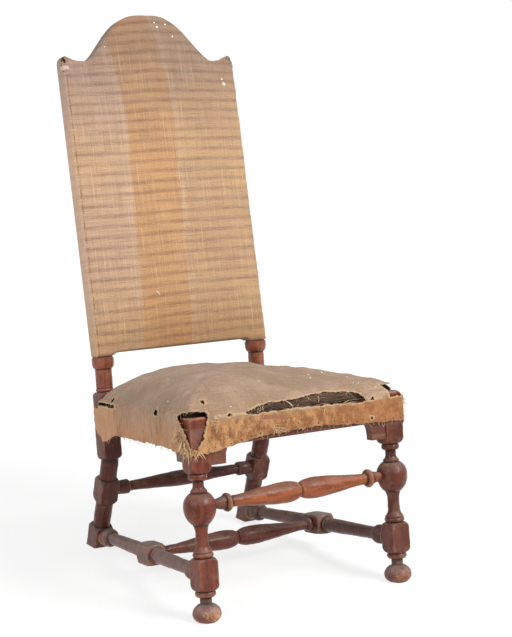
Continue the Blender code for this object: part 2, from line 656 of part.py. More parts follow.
def make_side_stretcher(side_name, stance):
    """A low side stretcher with a block in the middle for the medial stretcher."""
    side = SIDES[side_name]
    front, rear = side_stretcher_ends()
    low = MEDIAL_AT - SIDE_BLOCK_LENGTH / 2
    high = MEDIAL_AT + SIDE_BLOCK_LENGTH / 2
    first = front + SIDE_COLLAR_LENGTH + QUIRK
    last = rear - SIDE_COLLAR_LENGTH - QUIRK
    stations = [(front - TENON_LENGTH, TENON_RADIUS)]
    stations += [(front + distance, radius) for distance, radius in side_end_stations()]
    stations += ease(first, low - SIDE_RING_WIDTH - 2 * QUIRK, SIDE_SHAFT_RADIUS, SIDE_SWELL_RADIUS)
    stations += bead(low - SIDE_RING_WIDTH, low - QUIRK, SIDE_SHAFT_RADIUS, SIDE_RING_RADIUS)
    stations += block(low, high, SIDE_BLOCK / 2, SIDE_SHAFT_RADIUS, BLOCK_SHOULDER)
    stations += ease(high + QUIRK, last, SIDE_SWELL_RADIUS, SIDE_SHAFT_RADIUS)
    stations += [(rear - distance, radius) for distance, radius in reversed(side_end_stations())]
    stations += [(rear + TENON_LENGTH, TENON_RADIUS)]

    def frame_at(at):
        slant = math.tan(POST_RAKE) if at > last + QUIRK else 0.0
        return np.array([leg_axis(side, at), at, LOW_STRETCHER_HEIGHT]), X_AXIS, Z_AXIS - Y_AXIS * slant

    bm = turned_bar(stations, frame_at, SIDE_BLOCK / 2, STRETCHER_SIDES)
    return make_object(f"side_stretcher_{side_name}", bm, stance, FINISH_DUSTY_WOOD)


def make_crest_rail(stance):
    """The arched crest, sitting on the stiles' tenons."""
    bottom = STILE_LENGTH + CLEARANCE
    outline = [(x, rise) for x, rise in crest_edge(0.0)] + [(BACK_HALF, bottom), (-BACK_HALF, bottom)]
    rings = [[back_point(x, rise, forward) for x, rise in outline]
             for forward in (-STILE_DEPTH / 2, STILE_DEPTH / 2)]
    return make_object("crest_rail", loft(rings), stance, FINISH_WOOD)


def lower_back_stations():
    """The lower back rail between the stiles, with its tenons."""
    face = REAR_SPREAD / 2 - STILE_WIDTH / 2 - CLEARANCE
    rise = LOWER_RAIL_BOTTOM + LOWER_RAIL_HEIGHT / 2
    body = (STILE_DEPTH / 2, LOWER_RAIL_HEIGHT / 2)
    tenon = (BACK_TENON_THICK / 2, BACK_TENON_WIDTH / 2)
    reach = face + BACK_TENON_LENGTH
    places = [(-reach, tenon), (-face, tenon), (-face, body), (face, body), (face, tenon), (reach, tenon)]
    return [(back_point(x, rise, 0.0), *size) for x, size in places]


def make_peg(name, start, into, across, up, pieces, stance, length=PEG_LENGTH, solver="EXACT"):
    """A peg driven from a face, and its hole through the pieces that it locks."""
    head = start + into * CLEARANCE
    make_object(name, rod(head, head + into * length, across, up, PEG_RADIUS, PEG_SIDES), stance, FINISH_PEG)
    hole = rod(start - into * CUT_OVERRUN, head + into * (length + CLEARANCE), across, up,
               PEG_RADIUS + CLEARANCE, PEG_SIDES)
    cutter = make_cutter(f"hole_{name}", hole, stance)
    for piece in pieces:
        cut(piece, cutter, solver)


def join_legs(frame, side_name, stance):
    """Mortises, sockets and pegs of one front leg."""
    side = SIDES[side_name]
    leg = frame[f"front_leg_{side_name}"]
    x = side * FRONT_SPREAD / 2
    inner = x - side * LEG_FACE
    middle = RAIL_TOP - FRONT_RAIL_HEIGHT / 2
    tenon = FRONT_RAIL_HEIGHT - 2 * RAIL_TENON_INSET
    cut(leg, mortise(f"mortise_front_{side_name}", np.array([inner, -RAIL_OUT, middle]), X_AXIS * side, Y_AXIS,
                     Z_AXIS, RAIL_TENON_THICK, tenon, RAIL_TENON_LENGTH, stance))
    place = np.array([inner + side * RAIL_TENON_LENGTH / 2, -LEG_FACE, middle + PEG_STAGGER])
    make_peg(f"peg_front_rail_{side_name}", place, Y_AXIS, X_AXIS, Z_AXIS, [leg, frame["front_seat_rail"]],
             stance)
    middle = RAIL_TOP - SIDE_RAIL_HEIGHT / 2
    tenon = SIDE_RAIL_HEIGHT - 2 * RAIL_TENON_INSET
    rail_x = leg_axis(side, LEG_FACE) + side * RAIL_OUT
    cut(leg, mortise(f"mortise_side_{side_name}", np.array([rail_x, LEG_FACE, middle]), -side_line(side),
                     X_AXIS, Z_AXIS, RAIL_TENON_THICK, tenon, RAIL_TENON_LENGTH, stance))
    place = np.array([x + side * LEG_FACE, LEG_FACE - RAIL_TENON_LENGTH / 2, middle - PEG_STAGGER])
    make_peg(f"peg_side_rail_front_{side_name}", place, X_AXIS * -side, Y_AXIS, Z_AXIS,
             [leg, frame[f"side_seat_rail_{side_name}"]], stance)
    mouth = np.array([x - side * BALL_RADIUS, 0.0, BALL_MIDDLE])
    cut(leg, socket(f"socket_ball_{side_name}", mouth, X_AXIS * side, Y_AXIS, Z_AXIS, TENON_LENGTH, stance))
    mouth = np.array([leg_axis(side, LEG_FACE), LEG_FACE, LOW_STRETCHER_HEIGHT])
    cut(leg, socket(f"socket_front_foot_{side_name}", mouth, -side_line(side), X_AXIS, Z_AXIS, TENON_LENGTH,
                    stance, STRETCHER_SIDES))


def join_posts(frame, side_name, stance):
    """Mortises, sockets and pegs of one rear post, the crest and a side stretcher."""
    side = SIDES[side_name]
    post = frame[f"rear_post_{side_name}"]
    x = side * REAR_SPREAD / 2
    inner = x - side * POST_FACE
    middle = RAIL_TOP - SIDE_RAIL_HEIGHT / 2
    tenon = SIDE_RAIL_HEIGHT - 2 * RAIL_TENON_INSET
    cut(post, mortise(f"mortise_rear_{side_name}", np.array([inner, SEAT_DEPTH + RAIL_OUT, middle]),
                      X_AXIS * side, Y_AXIS, Z_AXIS, RAIL_TENON_THICK, tenon, RAIL_TENON_LENGTH, stance),
        "MANIFOLD")
    place = np.array([inner + side * RAIL_TENON_LENGTH / 2, SEAT_DEPTH + POST_FACE, middle + PEG_STAGGER])
    make_peg(f"peg_rear_rail_{side_name}", place, -Y_AXIS, X_AXIS, Z_AXIS, [post, frame["rear_seat_rail"]],
             stance, solver="MANIFOLD")
    face = SEAT_DEPTH - POST_FACE
    rail_x = leg_axis(side, face) + side * RAIL_OUT
    cut(post, mortise(f"mortise_flank_{side_name}", np.array([rail_x, face, middle]), side_line(side), X_AXIS,
                      Z_AXIS, RAIL_TENON_THICK, tenon, RAIL_TENON_LENGTH, stance), "MANIFOLD")
    place = np.array([x + side * POST_FACE, face + RAIL_TENON_LENGTH / 2, middle - PEG_STAGGER])
    make_peg(f"peg_side_rail_rear_{side_name}", place, X_AXIS * -side, Y_AXIS, Z_AXIS,
             [post, frame[f"side_seat_rail_{side_name}"]], stance, solver="MANIFOLD")
    rear = side_stretcher_ends()[1]
    mouth = np.array([leg_axis(side, rear), rear, LOW_STRETCHER_HEIGHT])
    raked = Z_AXIS - Y_AXIS * math.tan(POST_RAKE)
    cut(post, socket(f"socket_rear_foot_{side_name}", mouth, side_line(side), X_AXIS, raked, TENON_LENGTH,
                     stance, STRETCHER_SIDES), "MANIFOLD")
    mouth = post_point(inner, POST_STRETCHER_AT)
    cut(post, socket(f"socket_rear_{side_name}", mouth, X_AXIS * side, POST_BACK, POST_UP, TENON_LENGTH,
                     stance), "MANIFOLD")
    mouth = np.array([side * (leg_axis(1.0, MEDIAL_AT) - SIDE_BLOCK / 2), MEDIAL_AT, LOW_STRETCHER_HEIGHT])
    cut(frame[f"side_stretcher_{side_name}"], socket(f"socket_medial_{side_name}", mouth, X_AXIS * side,
                                                     side_line(side), Z_AXIS, TENON_LENGTH, stance))
    stile_face = x - side * STILE_WIDTH / 2
    rise = LOWER_RAIL_BOTTOM + LOWER_RAIL_HEIGHT / 2
    cut(post, mortise(f"mortise_back_{side_name}", back_point(stile_face, rise, 0.0), X_AXIS * side, BACK_FRONT,
                      BACK_UP, BACK_TENON_THICK, BACK_TENON_WIDTH, BACK_TENON_LENGTH, stance), "MANIFOLD")
    place = back_point(stile_face + side * BACK_TENON_LENGTH / 2, rise, -STILE_DEPTH / 2)
    make_peg(f"peg_lower_back_{side_name}", place, BACK_FRONT, X_AXIS, BACK_UP,
             [post, frame["lower_back_rail"]], stance, BACK_PEG_LENGTH, "MANIFOLD")
    cut(frame["crest_rail"], mortise(f"mortise_crest_{side_name}", back_point(x, STILE_LENGTH, 0.0), BACK_UP,
                                     X_AXIS, BACK_FRONT, BACK_TENON_WIDTH, BACK_TENON_THICK, BACK_TENON_LENGTH,
                                     stance))
    place = back_point(x, STILE_LENGTH + BACK_TENON_LENGTH / 2, -STILE_DEPTH / 2)
    make_peg(f"peg_crest_{side_name}", place, BACK_FRONT, X_AXIS, BACK_UP, [post, frame["crest_rail"]], stance,
             BACK_PEG_LENGTH, "MANIFOLD")


def make_web(name, start, end, across, crossings, first_over, stance):
    """A web strip between two rails, over and under the strips that cross it."""
    length = np.linalg.norm(end - start)
    along = (end - start) / length
    reach = WEB_WIDTH / 2 + WEB_EASE
    stations = [(0.0, 0.0)]
    over = first_over
    for crossing in crossings:
        rise = WEB_STEP if over else 0.0
        stations += [(crossing - reach, rise), (crossing + reach, rise)]
        over = not over
    stations.append((length, 0.0))
    floor = RAIL_TOP + CLEARANCE + WEB_THICK / 2
    places = [(start + along * at + Z_AXIS * (floor + rise), WEB_WIDTH / 2, WEB_THICK / 2)
              for at, rise in stations]
    return make_object(name, bar(places, across, Z_AXIS), stance, FINISH_WEB)


def make_webbing(stance):
    """Girth webs nailed to the rails, three each way, interlaced."""
    front = -RAIL_OUT - RAIL_THICK / 2 + WEB_END
    rear = SEAT_DEPTH + RAIL_OUT + RAIL_THICK / 2 - WEB_END
    columns = [(index - (WEB_COUNT - 1) / 2) * FRONT_SPREAD / (WEB_COUNT + 1) for index in range(WEB_COUNT)]
    rows = [SEAT_DEPTH * (index + 1) / (WEB_COUNT + 1) for index in range(WEB_COUNT)]
    for index, x in enumerate(columns):
        make_web(f"seat_web_long_{index + 1}", np.array([x, front, 0.0]), np.array([x, rear, 0.0]), X_AXIS,
                 [y - front for y in rows], index % 2 == 0, stance)
    for index, y in enumerate(rows):
        reach = leg_axis(1.0, y) + RAIL_OUT + RAIL_THICK / 2 - WEB_END
        make_web(f"seat_web_cross_{index + 1}", np.array([-reach, y, 0.0]), np.array([reach, y, 0.0]), Y_AXIS,
                 [x + reach for x in columns], index % 2 == 1, stance)


def seat_outline(margin, front, leg_gap, post_gap):
    """Corners of the seat in plan, `margin` outside the frame; a leg gap cuts it round the legs."""
    notch = SEAT_DEPTH - POST_FACE - post_gap
    inner = REAR_SPREAD / 2 - POST_FACE - post_gap
    rear = SEAT_DEPTH + RAIL_OUT + RAIL_THICK / 2 + margin + REAR_FLAP_GAP
    reach = LEG_FACE + margin
    right = [(leg_axis(1.0, notch) + reach, notch), (inner, notch), (inner, rear)]
    if leg_gap is None:
        right = [(FRONT_SPREAD / 2 + reach, front), (FRONT_SPREAD / 2 + reach, LEG_FACE)] + right
    else:
        leg_inner = FRONT_SPREAD / 2 - LEG_FACE - leg_gap
        leg_rear = LEG_FACE + leg_gap
        flank = (leg_axis(1.0, leg_rear) + reach, leg_rear)
        right = [(leg_inner, front), (leg_inner, leg_rear), flank] + right
    return right + [(-x, y) for x, y in reversed(right)]


def seat_angles(outlines):
    """Angles about the seat's middle that meet every corner, with even steps between."""
    corners = sorted({round(math.atan2(y - SEAT_DEPTH / 2, x), 6)
                      for outline in outlines for x, y in outline})
    angles = []
    for first, last in zip(corners, corners[1:] + [corners[0] + 2 * math.pi]):
        steps = max(1, round((last - first) / SEAT_RAY_STEP))
        angles += [first + (last - first) * index / steps for index in range(steps)]
    return angles


def seat_reach(outline, angle):
    """Distance from the seat's middle to an outline along a ray."""
    ray = np.array([math.cos(angle), math.sin(angle)])
    best = 0.0
    for first, last in zip(outline, outline[1:] + outline[:1]):
        start = np.array(first) - (0.0, SEAT_DEPTH / 2)
        edge = np.array(last) - np.array(first)
        slant = ray[0] * edge[1] - ray[1] * edge[0]
        if abs(slant) > SMALL ** 2:
            along = (start[0] * edge[1] - start[1] * edge[0]) / slant
            share = (start[0] * ray[1] - start[1] * ray[0]) / slant
            if -SMALL <= share <= 1 + SMALL:
                best = max(best, along)
    return best


def seat_dome(angle, reach, share):
    """Height of the seat cover's top at a share of a ray: a dome, fuller in front, that sank to its right."""
    x, y, _ = seat_point(angle, reach * share, 0.0)
    rear = min(1.0, max(0.0, y / SEAT_FRONT_DEPTH))
    fullness = SEAT_FRONT_FULLNESS + (1 - SEAT_FRONT_FULLNESS) * rear
    rise = SEAT_CROWN_TOP - SEAT_EDGE_HEIGHT - SEAT_TILT * x
    return SEAT_EDGE_HEIGHT + rise * max(0.0, 1 - share ** SEAT_CROWN_POWER) ** fullness


def seat_point(angle, distance, height):
    """A point of the seat at an angle and distance from its middle."""
    return np.array([distance * math.cos(angle), SEAT_DEPTH / 2 + distance * math.sin(angle), height])


def cover_outline():
    """Outer face of the seat cover, in plan."""
    margin = 2 * CLEARANCE + SEAT_COVER_THICK
    return seat_outline(margin, -LEG_FACE - margin, None, POST_CUT)


def cover_hem(angle, distance):
    """Height of the seat cover's lower edge: low on the rails, cut up round the posts."""
    x, y, _ = seat_point(angle, distance, 0.0)
    notch = SEAT_DEPTH - POST_FACE - POST_CUT
    if y < -LEG_FACE:
        return FRONT_HEM
    if y < notch - SMALL:
        return SIDE_HEM
    inner = REAR_SPREAD / 2 - POST_FACE - POST_CUT
    return REAR_HEM if abs(x) < inner - SMALL else POST_HEM


def fan_sheet(bm, loops, middle):
    """Faces between nested closed loops of vertices, closed by a fan at the middle."""
    for outer, inner in zip(loops, loops[1:]):
        for index in range(len(outer)):
            bm.faces.new((outer[index - 1], outer[index], inner[index], inner[index - 1]))
    for index in range(len(loops[-1])):
        bm.faces.new((loops[-1][index - 1], loops[-1][index], middle))


def make_seat_cover(angles, stance):
    """The seat cover: a domed cloth with skirts on the rails, torn at the front and at the front corners."""
    outline = cover_outline()
    reaches = [seat_reach(outline, angle) for angle in angles]
    rays = list(zip(angles, reaches))
    bm = bmesh.new()
    loops = [[bm.verts.new(seat_point(angle, reach, cover_hem(angle, reach))) for angle, reach in rays]]
    for share in SEAT_SHARES:
        loops.append([bm.verts.new(seat_point(angle, reach * share, seat_dome(angle, reach, share)))
                      for angle, reach in rays])
    fan_sheet(bm, loops, bm.verts.new(seat_point(0.0, 0.0, SEAT_CROWN_TOP)))
    cover = make_object("seat_cover", bm, stance, FINISH_SEAT_CLOTH, closed=False)
    cloth = cover.modifiers.new("cloth", "SOLIDIFY")
    cloth.thickness = SEAT_COVER_THICK
    cloth.offset = -1.0
    cloth.use_even_offset = True
    corner = np.array([-FRONT_SPREAD / 2 - LEG_FACE, -LEG_FACE, 0.0])
    out = np.array([-1.0, -1.0, 0.0]) / ROOT2
    across = np.array([1.0, -1.0, 0.0]) / ROOT2
    slit = [(-CORNER_SLIT, SLIT_TOP), (CORNER_SLIT, SLIT_TOP), (SLIT_SLANT, SLIT_BOTTOM)]
    wedge = loft([[corner + out * depth + across * a + Z_AXIS * z for a, z in slit]
                  for depth in (-SLIT_REACH, SLIT_OUT)])
    cut(cover, make_cutter("corner_slit", wedge, stance), "MANIFOLD")
    turns = [index / TEAR_SIDES * 2 * math.pi for index in range(TEAR_SIDES)]
    tear = [(TEAR_MIDDLE + TEAR_HALF * math.cos(turn), TEAR_HEIGHT + TEAR_GAPE / 2 * math.sin(turn))
            for turn in turns]
    lens = loft([[np.array([x, y, z]) for x, z in tear] for y in (-LEG_FACE - TEAR_REACH, TEAR_REACH)])
    cut(cover, make_cutter("front_tear", lens, stance), "MANIFOLD")


def make_seat_stuffing(angles, outline, stance):
    """The domed stuffing under the seat cover, flat where it lies on the sackcloth."""
    cover = cover_outline()
    bottom = SACKCLOTH_TOP + CLEARANCE
    sunk = 2 * (SEAT_COVER_THICK + CLEARANCE)
    shares = np.array([0.0, *reversed(SEAT_SHARES)])

    def height_at(angle, reach, whole):
        """The stuffing follows the cover's own facets, so that the two stay clear."""
        dome = [seat_dome(angle, whole, share) for share in shares]
        return np.interp(reach / whole, shares, dome) - sunk

    rays = []
    for angle in angles:
        whole = seat_reach(cover, angle)
        rays.append((angle, min(seat_reach(outline, angle), whole * SEAT_PAD_SHARE), whole))
    bm = bmesh.new()
    loops = [[bm.verts.new(seat_point(angle, reach, bottom)) for angle, reach, _ in rays]]
    for share in SEAT_SHARES:
        loops.append([bm.verts.new(seat_point(angle, reach * share, height_at(angle, reach * share, whole)))
                      for angle, reach, whole in rays])
    fan_sheet(bm, loops, bm.verts.new(seat_point(0.0, 0.0, SEAT_CROWN_TOP - sunk)))
    bm.faces.new(loops[0])
    return make_object("seat_stuffing", bm, stance, FINISH_STUFFING)


def make_seat_layers(stance):
    """Webbing, sackcloth, edge roll, stuffing, cover and the tabs on the rear posts."""
    make_webbing(stance)
    front = -RAIL_OUT - RAIL_THICK / 2 + WEB_END
    inset = -RAIL_SETBACK - WEB_END
    sack = seat_outline(inset, front, 2 * CLEARANCE, 2 * CLEARANCE)
    bottom = SACKCLOTH_TOP - SACKCLOTH_THICK
    sheet = loft([[np.array([x, y, z]) for x, y in sack] for z in (bottom, SACKCLOTH_TOP)])
    make_object("seat_sackcloth", sheet, stance, FINISH_SACKCLOTH)
    roll_y = front + EDGE_ROLL_DEPTH / 2
    reach = FRONT_SPREAD / 2 - LEG_FACE - 2 * CLEARANCE
    height = SACKCLOTH_TOP + CLEARANCE + EDGE_ROLL_HEIGHT / 2
    ends = [(reach, EDGE_ROLL_END_SHARE), (reach - EDGE_ROLL_END, 1.0)]
    places = [(-at, size) for at, size in ends] + [(at, size) for at, size in reversed(ends)]
    rings = [ring(np.array([x, roll_y, height]), Y_AXIS, Z_AXIS, EDGE_ROLL_DEPTH / 2 * size,
                  EDGE_ROLL_HEIGHT / 2 * size, EDGE_ROLL_SQUARENESS, STRETCHER_SIDES) for x, size in places]
    make_object("seat_edge_roll", loft(rings), stance, FINISH_STUFFING)
    pad = seat_outline(inset, roll_y + EDGE_ROLL_DEPTH / 2 + CLEARANCE, 2 * CLEARANCE,
                       POST_CUT + SEAT_PAD_POST_GAP)
    angles = seat_angles([cover_outline(), pad])
    make_seat_stuffing(angles, pad, stance)
    make_seat_cover(angles, stance)
    for side_name, side in SIDES.items():
        make_tab(side_name, side, stance)


def make_tab(side_name, side, stance):
    """A tab of the seat cloth nailed round the outside of a rear post, with a rounded tip."""
    x = side * (REAR_SPREAD / 2 + POST_FACE + CLEARANCE)
    front = SEAT_DEPTH - POST_FACE
    turns = [index / ARC_STEPS * math.pi / 2 for index in range(ARC_STEPS + 1)]
    tip_y = front + TAB_LENGTH - TAB_TIP_LENGTH
    tip_z = RAIL_TOP - TAB_HEIGHT + TAB_TIP_HEIGHT
    outline = [(front, RAIL_TOP), (front, RAIL_TOP - TAB_HEIGHT + SEAT_COVER_THICK)]
    outline += [(tip_y + TAB_TIP_LENGTH * math.sin(turn), tip_z - TAB_TIP_HEIGHT * math.cos(turn))
                for turn in turns]
    outline.append((front + TAB_LENGTH, RAIL_TOP))
    rings = [[np.array([x + side * depth, y, z]) for y, z in outline] for depth in (0.0, SEAT_COVER_THICK)]
    make_object(f"seat_tab_{side_name}", loft(rings), stance, FINISH_SEAT_CLOTH)


def back_swell(across, rise):
    """How far the back cover stands forward at shares across (-1 to 1) and up (0 to 1)."""
    edge = STILE_DEPTH / 2 + CLEARANCE + BACK_COVER_THICK + BACK_PAD_EDGE
    level = 2 * rise - 1
    fall = (1 - across ** BACK_CROWN_ACROSS) * (1 - level ** BACK_CROWN_UP)
    return edge + BACK_CROWN * fall ** BACK_CROWN_FULLNESS


def back_shares():
    """Places across the back, from edge to edge, closer together at the ears."""
    return np.sin(np.linspace(-1.0, 1.0, BACK_COLUMNS + 1) * math.pi / 2)


def crest_edge(gap):
    """The crest's outline as rows of (x, rise), moved out by `gap` square to itself."""
    xs = back_shares() * BACK_HALF
    rises = crest_top(xs)
    run = np.gradient(xs)
    climb = np.gradient(rises)
    length = np.hypot(run, climb)
    square_x = -climb / length
    square_rise = run / length
    square_x[[0, -1]] = (-1.0, 1.0)
    square_rise[[0, -1]] = 0.0
    return np.stack([xs + gap * square_x, rises + gap * square_rise], axis=1)


def back_grid(gap, forward_at, rows):
    """Rows of points over the back, `gap` outside its frame, at the depth that `forward_at` gives."""
    bottom = LOWER_RAIL_BOTTOM - gap
    edge = crest_edge(gap)
    shares = back_shares()
    levels = 0.5 - 0.5 * np.cos(np.linspace(0.0, math.pi, rows + 1))
    grid = []
    for level in levels:
        line = []
        for share, (x, top) in zip(shares, edge):
            foot = share * (BACK_HALF + gap)
            across = foot + (x - foot) * level ** BACK_ROW_SPREAD
            line.append(back_point(across, bottom + (top - bottom) * level, forward_at(share, level)))
        grid.append(line)
    return grid


def grid_faces(bm, grid):
    """Quads between rows of vertices."""
    for low, high in zip(grid, grid[1:]):
        for index in range(1, len(low)):
            bm.faces.new((low[index - 1], low[index], high[index], high[index - 1]))


def make_back_sheet(name, gap, forward, thick, finish, stance):
    """A flat cloth over the whole back."""
    grids = [back_grid(gap, lambda across, rise, at=at: at, 1) for at in (forward, forward + thick)]
    edges = [grid[0] + grid[1][::-1] for grid in grids]
    return make_object(name, loft(edges), stance, finish)


def make_back_layers(stance):
    """Sackcloth, stuffing, front cover and outer cover of the back."""
    front = STILE_DEPTH / 2 + CLEARANCE
    make_back_sheet("back_sackcloth", -BACK_SACK_INSET, front, SACKCLOTH_THICK, FINISH_SACKCLOTH, stance)
    make_back_sheet("back_outer_cover", -BACK_OUTER_INSET, -front - BACK_COVER_THICK, BACK_COVER_THICK,
                    FINISH_BACK_CLOTH, stance)
    lying = front + SACKCLOTH_THICK + CLEARANCE
    sunk = 2 * (BACK_COVER_THICK + CLEARANCE)
    bm = bmesh.new()
    gap = 2 * CLEARANCE + BACK_COVER_THICK
    domed = back_grid(gap, lambda across, rise: back_swell(across, rise) - sunk, BACK_ROWS)
    inner = slice(BACK_PAD_SKIP_COUNT, -BACK_PAD_SKIP_COUNT)
    face = [[bm.verts.new(point) for point in line[inner]] for line in domed[1:-1]]
    grid_faces(bm, face)
    flat = back_grid(gap, lambda across, rise: lying, BACK_ROWS)
    around = border(face)
    behind = [bm.verts.new(point) for point in border([line[inner] for line in flat[1:-1]])]
    for index in range(len(around)):
        bm.faces.new((around[index - 1], around[index], behind[index], behind[index - 1]))
    bm.faces.new(behind)
    make_object("back_stuffing", bm, stance, FINISH_STUFFING)
    bm = bmesh.new()
    face = [[bm.verts.new(point) for point in line]
            for line in back_grid(gap, back_swell, BACK_ROWS)]
    grid_faces(bm, face)
    path = [line[0] for line in face] + face[-1][1:-1] + [line[-1] for line in reversed(face)]
    hem = -STILE_DEPTH / 2
    skirt = []
    for vertex in path:
        offset = np.array(vertex.co) - BACK_ORIGIN
        skirt.append(bm.verts.new(np.array(vertex.co) + BACK_FRONT * (hem - offset @ BACK_FRONT)))
    grid_faces(bm, [path, skirt])
    cover = make_object("back_cover", bm, stance, FINISH_BACK_CLOTH, closed=False)
    cloth = cover.modifiers.new("cloth", "SOLIDIFY")
    cloth.thickness = BACK_COVER_THICK
    cloth.offset = -1.0
    cloth.use_even_offset = True


def border(grid):
    """The points round the edge of a grid, in order."""
    right = [line[-1] for line in grid[1:-1]]
    left = [line[0] for line in reversed(grid[1:-1])]
    return grid[0] + right + grid[-1][::-1] + left


def stand_on_floor(stance):
    """Lean the chair back on its rear blocks, with the middle of its footprint at the origin."""
    stance.rotation_euler.x = -LEAN
    bpy.context.view_layer.update()
    depths = [(piece.matrix_world @ vertex.co).y for piece in bpy.data.objects
              if piece.type == "MESH" and not piece.hide_render for vertex in piece.data.vertices]
    stance.location.y = -(min(depths) + max(depths)) / 2
    bpy.context.view_layer.update()


def main():
    """Build the frame, join it, upholster it and stand it on the floor."""
    clear_scene()
    stance = bpy.data.objects.new("stance", None)
    bpy.context.collection.objects.link(stance)
    pieces = [make_cross_rail("front_seat_rail", -RAIL_OUT, FRONT_SPREAD / 2 - LEG_FACE, FRONT_RAIL_HEIGHT,
                              stance),
              make_cross_rail("rear_seat_rail", SEAT_DEPTH + RAIL_OUT, REAR_SPREAD / 2 - POST_FACE,
                              SIDE_RAIL_HEIGHT, stance),
              make_crest_rail(stance),
              make_object("lower_back_rail", bar(lower_back_stations(), BACK_FRONT, BACK_UP), stance,
                          FINISH_WOOD),
              make_front_stretcher(stance), make_medial_stretcher(stance), make_rear_stretcher(stance)]
    for side_name in SIDES:
        pieces += [make_front_leg(side_name, stance), make_rear_post(side_name, stance),
                   make_side_rail(side_name, stance), make_side_stretcher(side_name, stance)]
        make_brackets(side_name, stance)
    frame = {piece.name: piece for piece in pieces}
    for side_name in SIDES:
        join_legs(frame, side_name, stance)
        join_posts(frame, side_name, stance)
    make_seat_layers(stance)
    make_back_layers(stance)
    stand_on_floor(stance)


main()
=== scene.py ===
"""Looks of the side chair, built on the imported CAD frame.

Lengths are metres. Shapes are written in bench coordinates, with the chair upright on its front legs
(X across, Y to the back, Z up), and stand() leans them back into the row frame.
"""

import math
from functools import partialmethod

import bpy
import numpy as np
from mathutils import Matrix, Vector


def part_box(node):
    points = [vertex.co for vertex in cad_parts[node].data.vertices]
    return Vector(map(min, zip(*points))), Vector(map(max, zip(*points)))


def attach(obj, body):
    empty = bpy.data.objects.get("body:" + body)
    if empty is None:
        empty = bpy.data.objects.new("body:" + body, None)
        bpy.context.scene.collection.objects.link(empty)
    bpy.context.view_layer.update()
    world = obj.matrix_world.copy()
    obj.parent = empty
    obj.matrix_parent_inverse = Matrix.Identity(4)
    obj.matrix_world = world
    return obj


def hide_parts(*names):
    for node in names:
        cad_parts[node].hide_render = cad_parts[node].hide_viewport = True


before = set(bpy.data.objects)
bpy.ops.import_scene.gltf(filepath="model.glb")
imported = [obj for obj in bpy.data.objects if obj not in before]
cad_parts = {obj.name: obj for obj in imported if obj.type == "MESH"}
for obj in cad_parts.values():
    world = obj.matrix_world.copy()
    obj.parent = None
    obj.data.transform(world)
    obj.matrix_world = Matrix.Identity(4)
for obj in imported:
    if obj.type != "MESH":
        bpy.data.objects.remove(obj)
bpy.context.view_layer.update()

# Sizes that the CAD part also has
LEAN = math.radians(7.23)
FRONT_SPREAD = 0.46
REAR_SPREAD = 0.39
SEAT_DEPTH = 0.457
LEG_BLOCK = 0.043
LEG_TOP = 0.3985
BLOCK_SHOULDER = 0.014
BALL_RADIUS = 0.0325
BALL_MIDDLE = 0.2235
RAIL_TOP = 0.386
POST_BLOCK = 0.042
POST_FOOT_Y = 0.5445
KNEE_HEIGHT = 0.266
CAPITAL_TOP = 0.494
BACK_RAKE = math.radians(6.2)
STILE_WIDTH = 0.039
STILE_DEPTH = 0.022
STILE_LENGTH = 0.59
LOW_STRETCHER_HEIGHT = 0.092
MEDIAL_AT = 0.262
POST_STRETCHER_AT = 0.144
LOWER_RAIL_BOTTOM = 0.0125
TENON_LENGTH = 0.015
TENON_RADIUS = 0.0085
MEDIAL_BLOCK = 0.021
BULB_LENGTH = 0.034
PINCH_RADIUS = 0.0102
POST_ROUND = 0.019
NECK_RADIUS = 0.0184
CAPITAL_RADIUS = 0.0245

# Fineness
STEPS = 9
SIDES = 72
RING_STEP = 0.0024
EDGE_POWER = 22.0

# Values that follow
ROOT2 = math.sqrt(2.0)
X_AXIS, Y_AXIS, Z_AXIS = np.eye(3)
HANDS = {"left": -1.0, "right": 1.0}
FRONT_ZONE = 0.1  # a leg that lies before this y is a front leg
LEG_FACE = LEG_BLOCK / 2
POST_FACE = POST_BLOCK / 2
SIDE_SLOPE = (FRONT_SPREAD - REAR_SPREAD) / 2 / SEAT_DEPTH
POST_FOOT_Z = POST_FOOT_Y * math.tan(LEAN)
POST_RAKE = math.atan2(POST_FOOT_Y - SEAT_DEPTH, KNEE_HEIGHT - POST_FOOT_Z)
KNEE_DISTANCE = (KNEE_HEIGHT - POST_FOOT_Z) / math.cos(POST_RAKE)
POST_UP = np.array([0.0, -math.sin(POST_RAKE), math.cos(POST_RAKE)])
POST_BACK = np.array([0.0, math.cos(POST_RAKE), math.sin(POST_RAKE)])
BACK_UP = np.array([0.0, math.sin(BACK_RAKE), math.cos(BACK_RAKE)])
BACK_FRONT = np.array([0.0, -math.cos(BACK_RAKE), math.sin(BACK_RAKE)])
BACK_HALF = REAR_SPREAD / 2 + STILE_WIDTH / 2
LOW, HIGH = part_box("front_stretcher")
SHIFT_Y = (LOW.y + HIGH.y) / 2 - BALL_MIDDLE * math.sin(LEAN)


def xyz(*parts):
    """Coordinates put together, spread to one shape."""
    return np.stack(np.broadcast_arrays(*parts), -1)


def parts_of(points):
    """X, Y and so on of points."""
    return np.moveaxis(points, -1, 0)


def length(ways):
    """How long each way is."""
    return np.linalg.norm(ways, axis=-1)


def unit(ways):
    """The same ways, one metre long."""
    return ways / (length(ways)[..., None] + 1e-12)


def even(count):
    """Even shares from 0 to 1."""
    return np.linspace(0, 1, count)


def stand(points):
    """Bench coordinates to the row frame: turned back by the lean about X, then moved along Y."""
    x, y, z = parts_of(points)
    return xyz(x, y * math.cos(LEAN) + z * math.sin(LEAN) + SHIFT_Y, z * math.cos(LEAN) - y * math.sin(LEAN))


